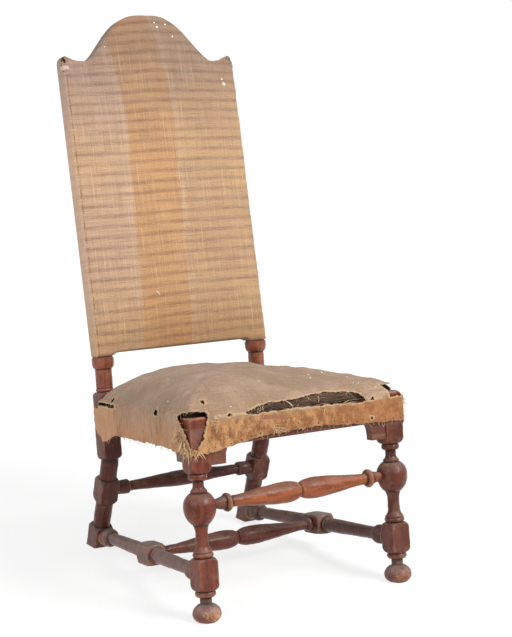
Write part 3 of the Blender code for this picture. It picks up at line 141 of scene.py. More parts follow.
def waves(points, size, seed, count=14):
    """A smooth random field of about -1 to 1: a sum of sine waves whose lengths lie round `size`."""
    rng = np.random.default_rng(seed)
    ways = unit(rng.normal(size=(count, points.shape[-1])))
    ways *= rng.uniform(0.6, 1.6, (count, 1)) * 2 * np.pi / size
    return np.sin(points @ ways.T + rng.uniform(0, 2 * np.pi, count)).sum(-1) / math.sqrt(count)


def smooth_step(value, low, high):
    """0 below `low`, 1 above `high`, an S-curve between."""
    share = np.clip((value - low) / (high - low), 0.0, 1.0)
    return share * share * (3 - 2 * share)


def grid_quads(rows, columns, closed=False):
    """Quads between neighbours of a grid of points; a closed grid joins its last column to its first."""
    index = np.arange(rows * columns).reshape(rows, columns)
    if closed:
        index = np.concatenate([index, index[:, :1]], 1)
    return between(index)


def between(index):
    """Quads between neighbours of a grid of point numbers."""
    return xyz(index[:-1, :-1], index[:-1, 1:], index[1:, 1:], index[1:, :-1]).reshape(-1, 4)


def make_piece(name, points, material, slot, node=None, quads=None, closed=False, sharp=None, **fields):
    """A mesh piece from a grid of bench points, or from points and quads; `fields` are kept per point."""
    if quads is None:
        quads = grid_quads(*points.shape[:2], closed)
    points = points.reshape(-1, 3)
    used, quads = np.unique(quads, return_inverse=True)
    quads = quads.reshape(-1, 4)
    mesh = bpy.data.meshes.new(name)
    mesh.vertices.add(len(used))
    mesh.vertices.foreach_set("co", stand(points[used]).astype(np.float32).ravel())
    mesh.loops.add(quads.size)
    mesh.loops.foreach_set("vertex_index", quads.astype(np.int32).ravel())
    mesh.polygons.add(len(quads))
    mesh.polygons.foreach_set("loop_start", np.arange(len(quads), dtype=np.int32) * 4)
    mesh.update(calc_edges=True)
    for label, values in fields.items():
        values = np.asarray(values, np.float32)
        vector = values.size == points.size
        kind, key, width = ("FLOAT_VECTOR", "vector", 3) if vector else ("FLOAT", "value", 1)
        values = np.resize(values, (len(points), width))[used]
        mesh.attributes.new(label, kind, "POINT").data.foreach_set(key, values.ravel())
    mesh.shade_smooth()
    if sharp:
        mesh.set_sharp_from_angle(angle=math.radians(sharp))
    mesh.materials.append(material)
    piece = bpy.data.objects.new(name, mesh)
    bpy.context.scene.collection.objects.link(piece)
    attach(piece, "root")
    if node:
        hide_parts(node)
    return piece


def thicken(piece, thickness):
    """Give a sheet a thickness, inwards from its outer face."""
    cloth = piece.modifiers.new("cloth", "SOLIDIFY")
    cloth.thickness = thickness
    cloth.offset = -1.0
    return piece


# Shader nodes

class Wire:
    """The output of a shader node. Its operators and methods add the nodes that come after it."""

    def __init__(self, socket):
        self.socket = socket
        self.tree = socket.id_data

    def calc(self, operation, *others, clamp=False):
        """The result of a math node on this value and others."""
        settings = {"operation": operation, "use_clamp": clamp}
        return Wire(add(self.tree, "ShaderNodeMath", settings, self, *others)[0])

    __add__ = partialmethod(calc, "ADD")
    __sub__ = partialmethod(calc, "SUBTRACT")
    __mul__ = partialmethod(calc, "MULTIPLY")
    __truediv__ = partialmethod(calc, "DIVIDE")
    __abs__ = partialmethod(calc, "ABSOLUTE")
    most = partialmethod(calc, "MAXIMUM")

    def span(self, low, high, first=0.0, last=1.0):
        """This value mapped smoothly from low..high to first..last."""
        settings = {"interpolation_type": "SMOOTHSTEP"}
        return Wire(add(self.tree, "ShaderNodeMapRange", settings, self, low, high, first, last)[0])

    def scaled(self, scale):
        """This vector times another."""
        return Wire(add(self.tree, "ShaderNodeVectorMath", {"operation": "MULTIPLY"}, self, scale)[0])

    def parts(self):
        """X, Y and Z of this vector."""
        return [Wire(socket) for socket in add(self.tree, "ShaderNodeSeparateXYZ", {}, self)]

    def noise(self, scale, detail=4.0, rough=0.55, stretch=None):
        """Noise about the middle 0.5 over this vector, at a number of features per metre."""
        place = self.scaled(stretch) if stretch else self
        return Wire(add(self.tree, "ShaderNodeTexNoise", {}, Vector=place, Scale=scale, Detail=detail,
                        Roughness=rough)[0])

    def bump(self, distance, strength):
        """A normal from this height, in units of `distance`."""
        return Wire(add(self.tree, "ShaderNodeBump", {}, Height=self, Distance=distance,
                        Strength=strength)[0])


def plug(socket, value):
    """Link an input to a wire, or set it to a number, a vector or a colour of three parts."""
    if isinstance(value, Wire):
        value.tree.links.new(value.socket, socket)
    else:
        socket.default_value = (*value, 1.0) if socket.type == "RGBA" else value


def fill(node, **inputs):
    """Plug a node's inputs by name."""
    for key, value in inputs.items():
        plug(node.inputs[key.replace("_", " ")], value)


def add(tree, kind, settings, *values, **inputs):
    """The outputs of a new node, with its settings and with its inputs plugged in order or by name."""
    made = tree.nodes.new(kind)
    for key, value in settings.items():
        setattr(made, key, value)
    for socket, value in zip(made.inputs, values):
        plug(socket, value)
    fill(made, **inputs)
    return made.outputs


def mix(factor, first, second, blend="MIX"):
    """A colour between two colours, or a colour blended into the first."""
    values = (factor, first, second)
    tree = next(value.tree for value in values if isinstance(value, Wire))
    made = tree.nodes.new("ShaderNodeMix")
    made.data_type = "RGBA"
    made.blend_type = blend
    for index, value in zip((0, 6, 7), values):
        plug(made.inputs[index], value)
    return Wire(made.outputs[2])


def paint(colour, *layers):
    """A colour with layers over it, each a mask and the colour where the mask is 1."""
    for mask, top in layers:
        colour = mix(mask, colour, top)
    return colour


def field(tree, name, kind="Fac"):
    """A value or vector kept on the mesh."""
    return Wire(add(tree, "ShaderNodeAttribute", {"attribute_name": name})[kind])


def object_place(tree):
    """Where a point lies in its object."""
    return Wire(add(tree, "ShaderNodeTexCoord", {})["Object"])


def new_group(name, inputs, outputs):
    """A node group with named sockets of given kinds: the wires that come in, and the node that puts out."""
    group = bpy.data.node_groups.new(name, "ShaderNodeTree")
    for way, sockets in (("INPUT", inputs), ("OUTPUT", outputs)):
        for label, kind in sockets.items():
            group.interface.new_socket(label, in_out=way, socket_type=f"NodeSocket{kind}")
    given = group.nodes.new("NodeGroupInput").outputs
    return group, [Wire(given[label]) for label in inputs], group.nodes.new("NodeGroupOutput")


def use_group(tree, group, **inputs):
    """A group's outputs by name, with its inputs plugged."""
    outputs = add(tree, "ShaderNodeGroup", {"node_tree": group}, **inputs)
    return {socket.name: Wire(socket) for socket in outputs}


def new_material(name):
    """A material, its node tree and its Principled shader."""
    material = bpy.data.materials.new(name)
    material.use_nodes = True
    return material, material.node_tree, material.node_tree.nodes["Principled BSDF"]


def old_wood_group():
    """Old varnished wood: fibres along the grain, darker streaks, pale worn edges, dust, small dents, painted
    shade in hollows.
    """
    tree, (grain, wear, dust, tint), put = new_group(
        "old_wood", {"Grain": "Vector", "Wear": "Float", "Dust": "Float", "Tint": "Color"},
        {"Color": "Color", "Roughness": "Float", "Height": "Float"})
    fibre = grain.noise(620.0, 6.0, 0.65, (1.0, 1.0, 0.045))
    streak = grain.noise(90.0, 4.0, 0.6, (1.0, 1.0, 0.12))
    patch = grain.noise(38.0, 5.0, 0.62)
    speck = grain.noise(420.0, 3.0, 0.7)
    worn = wear + (patch - 0.5) * 1.4 + (speck - 0.5) * 0.8
    dark = mix(1.0, tint, (0.42, 0.34, 0.33), "MULTIPLY")
    pale = mix(0.45, tint, (0.52, 0.27, 0.13))
    colour = paint(
        mix(streak.span(0.36, 0.6, 0.3, 1.0), dark, tint),
        (fibre.span(0.5, 0.75, 0.0, 0.3), dark),
        (patch.span(0.5, 0.72, 0.0, 0.3), pale),
        (worn.span(0.6, 1.3, 0.0, 0.55), pale),
        # near black in the hollows of the turnings: painted shade, with some grime
        (worn.span(-1.15, -0.3, 0.9, 0.0), (0.012, 0.005, 0.004)),
        (speck.span(0.57, 0.68, 0.0, 0.95), dark),
        (speck.span(0.26, 0.38, 0.35, 0.0), pale))
    facing = Wire(add(tree, "ShaderNodeNewGeometry", {})["Normal"]).parts()[2]
    dusty = (facing.span(-0.3, 0.9, 0.15, 1.0) * dust).most(facing.span(0.15, 0.85, 0.0, 0.42))
    dusty = dusty.calc("MULTIPLY", patch.span(0.3, 0.66, 0.45, 1.0), clamp=True)
    fill(put, Color=mix(dusty, colour, (0.222, 0.162, 0.143)), Height=fibre * 0.35 + patch * 0.8,
         Roughness=patch.span(0.3, 0.7, 0.24, 0.46) + dusty * 0.45)
    return tree


def weave_group():
    """Plain weave on flat cloth coordinates: two ways of threads, uneven in width and height."""
    tree, (cloth, pitch), put = new_group("plain_weave", {"Cloth": "Vector", "Pitch": "Float"},
                                          {"Height": "Float", "Slub": "Float"})
    drift = cloth.noise(60.0, 3.0)
    ridges = []
    for way, stretch in zip(cloth.parts(), ((160.0, 9.0, 1.0), (9.0, 160.0, 1.0))):
        uneven = cloth.noise(3.0, 3.0, stretch=stretch)
        turn = way / pitch + drift.calc("MULTIPLY_ADD", 2.5, uneven * 1.4)
        ridges.append(abs((turn * math.pi).calc("SINE")) * uneven.span(0.3, 0.7, 0.55, 1.15))
    fill(put, Height=ridges[0].most(ridges[1]), Slub=cloth.noise(1.0, 3.0, stretch=(14.0, 330.0, 1.0)))
    return tree


OLD_WOOD = old_wood_group()
WEAVE = weave_group()


def wood_material(name, tint, dust, along=None, gloss=0.16, bare_grime_highlight_tint=(0.5, 0.215, 0.085)):
    """Old wood of one tint. A turned piece keeps its own grain, a rail's grain is drawn out `along` it."""
    material, tree, shader = new_material(name)
    if along:
        grain, wear = object_place(tree).scaled(along), 0.1
    else:
        grain, wear = field(tree, "grain", "Vector"), field(tree, "wear")
        dust = field(tree, "dust") * dust
        # a second tint: bare wood on the front legs, grime on the front stretcher, a painted highlight on the
        # posts' necks
        tint = mix(field(tree, "bare"), tint, bare_grime_highlight_tint)
    look = use_group(tree, OLD_WOOD, Grain=grain, Wear=wear, Dust=dust, Tint=tint)
    fill(shader, Base_Color=look["Color"], Roughness=look["Roughness"], Specular_IOR_Level=0.16,
         Normal=look["Height"].bump(0.0006, 0.8), Coat_Weight=gloss, Coat_Roughness=0.22)
    return material


def cloth_shader(shader, colour, weave, depth=0.0005, dark=0.55, amount=0.45):
    """Finish a cloth: dark hollows between threads, single darker threads, the weave as bump, some sheen."""
    hollow = weave["Height"].span(0.35, 0.95, amount, 0.0)
    colour = mix(hollow, colour, (dark, dark * 0.93, dark * 0.88), "MULTIPLY")
    colour = mix(weave["Slub"].span(0.45, 0.75, 0.0, 0.3), colour, (0.62, 0.56, 0.52), "MULTIPLY")
    fill(shader, Base_Color=colour, Normal=weave["Height"].bump(depth, 0.7), Roughness=0.95,
         Specular_IOR_Level=0.15, Sheen_Weight=0.12, Sheen_Roughness=0.6)


def seat_cloth_material():
    """Worn linen: grey-brown on top, golden where it was folded down in front, stained at the edges."""
    material, tree, shader = new_material("seat_linen")
    cloth, bench = field(tree, "cloth", "Vector"), field(tree, "bench", "Vector")
    x, y, z = bench.parts()
    blotch = cloth.noise(16.0, 6.0, 0.62)
    fine = cloth.noise(420.0, 4.0, 0.65, (1.0, 0.35, 1.0))
    streak = cloth.noise(120.0, 4.0, 0.6, (0.1, 1.0, 1.0))
    soiled = cloth.noise(9.0, 4.0, 0.6)
    cloudy = bench.noise(70.0, 8.0, 0.7, (1.0, 1.0, 0.6))
    fibre = bench.noise(900.0, 3.0, 0.6, (0.35, 1.0, 1.0))
    fold_light = bench.noise(110.0, 4.0, 0.6, (1.0, 1.0, 0.16))
    slope = z + x * 0.105
    fallen = slope.span(0.368, 0.3695) * slope.span(0.3775, 0.3792, 1.0, 0.0)
    golden = paint(
        mix(cloudy.span(0.4, 0.6), (0.205, 0.082, 0.028), (0.45, 0.232, 0.098)),
        (fibre.span(0.52, 0.78, 0.0, 0.6), (0.58, 0.34, 0.16)),
        (fibre.span(0.22, 0.46, 0.65, 0.0), (0.12, 0.048, 0.018)),
        (x.span(-0.1, 0.2, 0.0, 0.6), (0.28, 0.102, 0.034)),
        (z.span(0.374, 0.398, 0.0, 0.35), (0.36, 0.22, 0.13)),
        (fallen * abs(x + 0.0635).span(0.028, 0.0315, 0.85, 0.0), (0.26, 0.105, 0.055)))
    edge = z + (blotch - 0.5) * 0.03
    front = y.span(-0.0235, -0.0215, 1.0, 0.0)
    side = edge.span(0.335, 0.42, 1.0, 0.0) * y.span(-0.0235, -0.0215)
    strip = y.span(0.346, 0.352) * z.span(0.39, 0.396, 1.0, 0.0)
    colour = paint(
        mix(blotch.span(0.36, 0.66), (0.285, 0.176, 0.11), (0.365, 0.245, 0.162)),
        (fine.span(0.44, 0.7, 0.0, 0.55), (0.47, 0.35, 0.25)),
        (streak.span(0.5, 0.7, 0.0, 0.6), (0.225, 0.138, 0.09)),
        (soiled.span(0.4, 0.56, 0.55, 0.0), (0.255, 0.165, 0.1)),
        (front * edge.span(0.386, 0.393, 1.0, 0.0), golden),
        (side * 0.85, (0.425, 0.198, 0.094)),
        # dark and pale upright streaks on the side skirts: painted shade and highlights of folds
        (side * fold_light.span(0.5, 0.68, 0.0, 0.6), (0.17, 0.085, 0.048)),
        (side * fold_light.span(0.28, 0.44, 0.5, 0.0), (0.52, 0.36, 0.23)),
        (strip * 0.8, (0.48, 0.255, 0.14)),
        (field(tree, "tattered").span(0.25, 0.95, 0.0, 0.7), (0.55, 0.37, 0.2)))
    cloth_shader(shader, colour, use_group(tree, WEAVE, Cloth=cloth, Pitch=0.0017))
    return material


def back_cloth_material():
    """Worn striped cloth: three upright zones of colour, clusters of thin dark lines across, a fine check."""
    material, tree, shader = new_material("back_stripe")
    cloth = field(tree, "cloth", "Vector")
    x, y, _ = cloth.parts()
    sway = cloth.noise(1.0, 2.0, stretch=(3.0, 6.0, 1.0))
    blotch = cloth.noise(14.0, 5.0, 0.6)
    grain = cloth.noise(480.0, 2.0, 0.6)
    jagged = cloth.noise(150.0, 5.0, 0.7)
    golden = cloth.noise(6.0, 3.0)
    broken = cloth.noise(1.0, 4.0, 0.65, (30.0, 420.0, 1.0))
    ragged = cloth.noise(1.0, 4.0, 0.65, (9.0, 60.0, 1.0))
    thin = cloth.noise(1.0, 3.0, 0.6, (12.0, 520.0, 1.0))
    check = cloth.noise(1.0, 3.0, 0.6, (300.0, 7.0, 1.0))
    bend = (y - 0.47).most(0.0)
    slant = x + (sway - 0.5) * 0.02 + y * -0.036 + bend * bend * 0.56
    faded = slant.span(0.0175, 0.0195) * slant.span(0.024, 0.044, 1.0, 0.0)
    pale = slant.span(-0.135, -0.112) * slant.span(-0.1045, -0.1, 1.0, 0.0)
    rise = y + (y - 0.48).most(0.0) * (abs(x) * 0.2 + 0.03)
    rise = rise + x.span(-0.1, 0.0, -0.0036, -0.0078) + (sway - 0.5) * 0.004
    turn = (rise / 0.0231 + 0.5).calc("FRACT")
    off = abs(turn - 0.5)
    lines = off.span(0.025, 0.07, 0.95, 0.0)
    for at, strength in ((0.37, 0.75), (0.61, 0.7), (0.72, 0.35)):
        lines = lines.most(abs(turn - at).span(0.02, 0.055, strength, 0.0))
    lines = (lines * broken.span(0.34, 0.64, 0.15, 1.1)).most(off.span(0.05, 0.32, 0.46, 0.0))
    lines = lines * ragged.span(0.3, 0.62, 0.35, 1.15)
    stripe = mix(abs(slant + 0.042).span(0.058, 0.062), (0.19, 0.084, 0.036), (0.195, 0.114, 0.076))
    # a dark ragged line just inside the left edge: painted shade of the fold
    crease_shade = abs(x + 0.2095).span(0.0006, 0.0022, 0.75, 0.0) * ragged.span(0.38, 0.58, 0.15, 1.0)
    ear = add(tree, "ShaderNodeVectorMath", {"operation": "DISTANCE"}, cloth.scaled((0.55, 1.3, 1.0)),
              (-0.2125 * 0.55, 0.6365 * 1.3, 0.0))
    lining = Wire(ear["Value"]) + (jagged - 0.5) * 0.016
    colour = paint(
        mix(slant.span(-0.109, -0.096), (0.458, 0.3, 0.198), (0.465, 0.256, 0.12)),
        (slant.span(0.017, 0.02), (0.44, 0.272, 0.146)),
        (faded * 0.35, (0.55, 0.39, 0.25)),
        (pale * 0.35, (0.55, 0.39, 0.26)),
        (golden.span(0.46, 0.62, 0.0, 0.45), (0.53, 0.325, 0.155)),
        (lines.calc("MULTIPLY", 0.9, clamp=True), stripe),
        (thin.span(0.5, 0.72, 0.0, 0.6), (0.255, 0.147, 0.092)),
        (check.span(0.46, 0.72, 0.0, 0.45), (0.27, 0.168, 0.11)),
        (check.span(0.25, 0.44, 0.5, 0.0), (0.68, 0.5, 0.34)),
        (grain.span(0.52, 0.76, 0.0, 0.72), (0.225, 0.132, 0.082)),
        (grain.span(0.24, 0.46, 0.55, 0.0), (0.68, 0.49, 0.33)),
        (blotch.span(0.45, 0.72, 0.0, 0.22), (0.3, 0.2, 0.14)),
        (x.span(-0.2155, -0.211, 0.6, 0.0), (0.56, 0.385, 0.285)),
        (crease_shade, (0.26, 0.105, 0.052)),
        (lining.span(0.0055, 0.0075, 0.9, 0.0), (0.78, 0.54, 0.4)))
    colour = mix(y.span(0.42, 0.7), colour, (0.645, 0.67, 0.8), "MULTIPLY")
    colour = mix(y.span(0.02, 0.15, 1.0, 0.0), colour, (0.9, 0.85, 0.75), "MULTIPLY")
    colour = mix(field(tree, "tattered").span(0.1, 0.9, 0.0, 0.6), colour, (0.23, 0.15, 0.1))
    cloth_shader(shader, colour, use_group(tree, WEAVE, Cloth=cloth, Pitch=0.0016), dark=0.6, amount=0.35)
    return material


def plain_cloth_material(name, colour, pitch, depth):
    """Coarse plain cloth such as sackcloth, webbing or a lining, with darker stains."""
    material, tree, shader = new_material(name)
    cloth = field(tree, "cloth", "Vector")
    shade = mix(cloth.noise(22.0, 5.0, 0.6).span(0.35, 0.68), [part * 0.8 for part in colour], colour)
    cloth_shader(shader, shade, use_group(tree, WEAVE, Cloth=cloth, Pitch=pitch), depth)
    return material


def strand_material(name, dark, pale):
    """Dry grass or thread: each strand has its own shade between two colours."""
    material, tree, shader = new_material(name)
    fleck = object_place(tree).noise(260.0, 3.0)
    shade = field(tree, "shade").calc("ADD", (fleck - 0.5) * 0.6, clamp=True)
    fill(shader, Base_Color=mix(shade, dark, pale), Normal=fleck.bump(0.0004, 0.6), Roughness=0.8)
    return material


def tack_material():
    """Rusted iron of tacks and the dark of old tack holes."""
    material, tree, shader = new_material("tack_iron")
    rust = object_place(tree).noise(900.0, 3.0)
    fill(shader, Base_Color=mix(rust, (0.012, 0.008, 0.007), (0.06, 0.03, 0.02)), Roughness=0.7)
    return material


SEAT_LINEN = seat_cloth_material()
BACK_STRIPE = back_cloth_material()
WEB_LINEN = plain_cloth_material("web_linen", (0.4, 0.29, 0.18), 0.0022, 0.0007)
SACK_LINEN = plain_cloth_material("sack_linen", (0.46, 0.33, 0.2), 0.0026, 0.0008)
OUTER_LINEN = plain_cloth_material("outer_linen", (0.47, 0.34, 0.22), 0.0018, 0.0005)
THREAD = strand_material("loose_thread", (0.26, 0.13, 0.05), (0.68, 0.5, 0.29))
LINT = strand_material("lint", (0.6, 0.47, 0.34), (0.86, 0.78, 0.66))
GRASS = strand_material("grass", (0.032, 0.017, 0.01), (0.19, 0.098, 0.05))
HAIR = strand_material("back_hair", (0.05, 0.035, 0.022), (0.22, 0.15, 0.09))
IRON = tack_material()


# Turned wood

def stations(start, end, first, last, along, across):
    """Places from start to end and radii from first to last, by shares of the way along and across."""
    return xyz(start + (end - start) * along, first + (last - first) * across)


def quarter_round(start, end, first, last):
    """Stations of a quarter ellipse from `first`, square to the axis, to `last`, along it."""
    turn = np.linspace(0, np.pi / 2, STEPS)
    return stations(start, end, first, last, 1 - np.cos(turn), np.sin(turn))


def ease(start, end, first, last):
    """Stations of an S-shaped run between two radii."""
    share = even(2 * STEPS)
    return stations(start, end, first, last, share, share * share * (3 - 2 * share))


def cove(start, end, first, last):
    """Stations of a hollow that leaves `first` along the axis and opens out to `last`."""
    share = even(STEPS)
    return stations(start, end, first, last, share, share ** 2)


def bead(start, end, low, high):
    """Stations of a bead from `low` to `high` in the middle and down again."""
    share = even(STEPS)
    return stations(start, end, low, high, share, np.sin(np.pi * share) ** 0.6)


def oval(middle, reach, radius, first, last):
    """Stations on an oval, between two turns from its widest place."""
    turn = np.linspace(first, last, 2 * STEPS)
    return xyz(middle + reach * np.sin(turn), radius * np.cos(turn))


def block(bottom, top, half, end_radius):
    """Stations of a square block between turned shoulders."""
    rise = quarter_round(bottom, bottom + BLOCK_SHOULDER, end_radius, half * ROOT2)
    return np.r_[rise, rise[::-1] * (-1, 1) + (bottom + top, 0)]


def bulb_pair(bulb, shaft, shaft_end):
    """Stations from a shaft's outer end to the pinch in the middle, past one long bulb."""
    turn = np.linspace(0, np.pi / 2, 2 * STEPS)[1:]
    drop = stations(-BULB_LENGTH, 0.0, PINCH_RADIUS, bulb, np.sin(turn), np.cos(turn))
    return joined(ease(-shaft_end, -BULB_LENGTH, shaft, bulb), drop)


def joined(*parts):
    """Stations one after another."""
    return np.concatenate([np.atleast_2d(part) for part in parts])


def straight(start, along, across, up):
    """A straight axis: for distances along it, the places and the two ways square to it."""
    return lambda at: (start + np.outer(at, along), across, up)


def rings(stock, place, half, seed, worn=0.00022):
    """Rings of points of a turned run, r(s) cut to the square of `half`, and what is kept per point."""
    way = np.r_[0, np.cumsum(length(np.diff(stock, axis=0)) + 1e-7)]
    steps = np.union1d(way, np.arange(0, way[-1], RING_STEP))
    at, radius = [np.interp(steps, way, column) for column in stock.T]
    angle = np.arange(SIDES) * 2 * np.pi / SIDES
    square = (np.abs(np.cos(angle)) ** EDGE_POWER + np.abs(np.sin(angle)) ** EDGE_POWER) ** (-1 / EDGE_POWER)
    core = np.minimum(radius, half)
    reach = np.minimum(radius[:, None], core[:, None] * square)
    wear = np.clip((reach / half - 1.12) * 4, 0, 1)
    # Below zero in the hollows of the profile, which the wood paints near black: painted shade, with some
    # grime.
    for width, depth, low, high in ((0.009, 0.004, -0.45, 1.0), (0.0028, 0.0011, -1.0, 0.5)):
        near = np.exp(-((at[:, None] - at) / width) ** 2)
        wear = wear + np.clip((core - near @ core / near.sum(1)) / depth, low, high)[:, None]
    grain = xyz(reach * np.cos(angle), reach * np.sin(angle), at[:, None])
    reach = reach + worn * (waves(grain, 0.03, seed) + 0.6 * waves(grain, 0.009, seed + 1))
    centre, across, up = [np.broadcast_to(part, (len(at), 3))[:, None, :] for part in place(at)]
    points = centre + across * (reach * np.cos(angle))[..., None] + up * (reach * np.sin(angle))[..., None]
    return points, wear, grain + seed * 0.37


def turned(name, runs, material, node, bare=None, on_floor=False):
    """One turned piece from its runs of rings, closed at both ends and cut to the floor."""
    points, wear, grain = [np.concatenate([run[part] for run in runs]) for part in range(3)]
    caps = [np.broadcast_to(points[row].mean(0), (1, SIDES, 3)) for row in (0, -1)]
    points = np.r_[caps[0], points, caps[1]]
    wear = np.pad(wear, ((1, 1), (0, 0)), "edge")
    grain = np.pad(grain, ((1, 1), (0, 0), (0, 0)), "edge")
    floor = points[..., 1] * math.tan(LEAN)
    if on_floor:
        points[..., 2] = np.maximum(points[..., 2], floor)
    x, y, z = parts_of(points)
    dust = smooth_step(z - floor, 0.26, 0.05)
    if on_floor and y.max() < FRONT_ZONE:
        dust = dust + 3.2 * smooth_step(z, 0.379, 0.376) * smooth_step(z, 0.325, 0.335)
        dust = dust + np.where(x < 0, 3.6, 2.4) * smooth_step(z, 0.052, 0.036)
    return make_piece(name, points, material, "turned_wood", node, closed=True, sharp=40, wear=wear,
                      grain=grain, dust=dust, bare=bare(points) if bare else 0.0)


def bare_foot(points):
    """Where a front leg lost its finish: the front of the bun foot and the edge of its open top."""
    x, y, z = parts_of(points)
    left = x < 0
    middle = np.where(left, x + FRONT_SPREAD / 2, x - FRONT_SPREAD / 2)
    facing = (0.1 * middle - 0.99 * y) / (np.hypot(middle, y) + 1e-6)
    ragged = 0.18 * waves(points, 0.01, 16)
    foot = smooth_step(facing + ragged, 0.72, 0.8)
    foot = foot * smooth_step(np.abs(z - 0.015) + 0.02 * ragged, 0.013, 0.011)
    chipped = (foot * 1.5 + 0.1 * smooth_step(z, 0.05, 0.01)) * np.where(left, 1.0, 0.3)
    rubbed = 0.55 * smooth_step(z, LEG_TOP - 0.0055, LEG_TOP - 0.002) * smooth_step(np.abs(x), 0.0, 0.2)
    return chipped * (0.75 + 0.35 * waves(points, 0.012, 15)).clip(0, 1) + rubbed


def bare_neck(points):
    """Where a rear post is painted lighter and redder as a painted highlight: the neck above the seat."""
    return 0.34 * smooth_step(points[..., 2], 0.405, 0.425)


def dark_ends(points):
    """Where the front stretcher is dark with grime: collars and tapers, most on the left."""
    x = points[..., 0]
    end = smooth_step(np.abs(x) + 0.003 * waves(points, 0.012, 17), 0.156, 0.17)
    return end * np.where(x < 0, 0.85, 0.45)


def leg_axis(side, y):
    """X of the line from a front leg to its rear post."""
    return side * (FRONT_SPREAD / 2 - SIDE_SLOPE * y)


def post_point(x, distance):
    """A point on the raked lower axis of a rear post, measured up from the floor."""
    return np.array([x, POST_FOOT_Y, POST_FOOT_Z]) + np.multiply.outer(distance, POST_UP)


def front_leg_runs(side, seed):
    """The runs of a front leg, from the bun foot up: turned parts are round, blocks are cut to the stock."""
    half = LEG_FACE
    turn = math.acos(0.012 / 0.0287)
    low = math.acos(0.0164 / BALL_RADIUS)
    upper = oval(BALL_MIDDLE, BALL_RADIUS, BALL_RADIUS, 0, math.acos(0.0193 / BALL_RADIUS))
    groove = upper[-1, 0] + 0.001
    foot = joined(oval(0.0145, 0.0195 / math.sin(turn), 0.0287, -turn, turn), (0.047, 0.012),
                  bead(0.048, 0.0595, 0.0172, 0.0206))
    vase = joined(
        bead(0.1245, 0.135, 0.0172, 0.0208), cove(0.152, 0.136, 0.0123, 0.0193)[::-1],
        cove(0.172, BALL_MIDDLE - 0.04 * math.sin(low), 0.0123, 0.0164),
        oval(BALL_MIDDLE, 0.04, BALL_RADIUS, -low, 0), upper, (groove, 0.0156), (groove + 0.001, 0.0168),
        cove(0.2645, 0.255, 0.0112, 0.0168)[::-1], (0.2745, 0.0112), bead(0.2765, 0.2885, 0.0159, 0.0187))
    top = joined(quarter_round(0.2895, 0.3095, 0.0187, half * ROOT2),
                 quarter_round(LEG_TOP, LEG_TOP - BLOCK_SHOULDER, 0.019, half * ROOT2)[::-1])
    axis = straight(X_AXIS * side * FRONT_SPREAD / 2, Z_AXIS, X_AXIS, Y_AXIS)
    return [rings(stock, axis, cut, seed) for stock, cut in (
        (foot, 1.0), (block(0.06, 0.1235, half, 0.0172), half), (vase, 1.0), (top, half))]


def post_runs(side, seed):
    """The runs of a rear post: raked foot, upright seat block, neck, raked stile."""
    x = side * REAR_SPREAD / 2
    half = POST_FACE
    foot = joined((-0.016, half * ROOT2), block(0.0, 0.054, half, POST_ROUND)[STEPS:],
                  block(0.115, 0.173, half, POST_ROUND), (0.174, POST_ROUND),
                  (KNEE_DISTANCE - 0.004, POST_ROUND))
    seat = block(0.272, 0.4185, half, POST_ROUND)
    neck = joined(bead(0.4195, 0.4275, 0.0171, 0.0198), (0.4285, NECK_RADIUS), (0.469, NECK_RADIUS),
                  quarter_round(0.47, 0.486, NECK_RADIUS, CAPITAL_RADIUS), (0.493, CAPITAL_RADIUS))
    stile = joined((0.0, 2.0), (STILE_LENGTH, 2.0))
    upright = straight(np.array([x, SEAT_DEPTH, 0.0]), Z_AXIS, X_AXIS, Y_AXIS)
    raked = straight(np.array([x, SEAT_DEPTH, CAPITAL_TOP]), BACK_UP, X_AXIS * STILE_WIDTH / 2,
                     BACK_FRONT * -STILE_DEPTH / 2)
    return [rings(foot, straight(post_point(x, 0.0), POST_UP, X_AXIS, POST_BACK), half, seed),
            rings(seat, upright, half, seed + 1), rings(neck, upright, CAPITAL_RADIUS, seed + 1),
            rings(stile, raked, 1.0, seed + 2, 0.0)]


def side_stretcher_runs(side, seed):
    """The rings of a low side stretcher, with its block for the medial stretcher."""
    rise = (LOW_STRETCHER_HEIGHT - POST_FOOT_Z) / math.cos(POST_RAKE)
    front = LEG_FACE
    rear = post_point(0.0, rise)[1] - POST_FACE / math.cos(POST_RAKE) + 0.002
    low, high = MEDIAL_AT - 0.031, MEDIAL_AT + 0.031
    end = joined((0.0, TENON_RADIUS), (0.0, 0.0211), (0.012, 0.0168), bead(0.013, 0.038, 0.0168, 0.0204))
    stock = joined(
        (front - TENON_LENGTH, TENON_RADIUS), end + (front, 0),
        ease(front + 0.039, low - 0.012, 0.0132, 0.0152), bead(low - 0.01, low - 0.001, 0.0125, 0.0168),
        block(low, high, MEDIAL_BLOCK, 0.0125), ease(high + 0.001, rear - 0.039, 0.0152, 0.0132),
        end[::-1] * (-1, 1) + (rear, 0), (rear + TENON_LENGTH, TENON_RADIUS))

    def axis(at):
        return xyz(leg_axis(side, at), at, LOW_STRETCHER_HEIGHT), X_AXIS, Z_AXIS

    return [rings(stock, axis, MEDIAL_BLOCK, seed)]


def cross_stretcher(name, end, half, middle, ways, radius, seed, material, bare=None):
    """A stretcher across the chair: stations from its left tenon to the middle, and the same mirrored."""
    tenon = joined((-end - TENON_LENGTH, TENON_RADIUS), half)
    stock = np.r_[tenon, tenon[::-1] * (-1, 1)]
    run = rings(stock, straight(middle, X_AXIS, *ways), radius, seed)
    turned(f"stretcher_{name}", [run], material, f"{name}_stretcher", bare)


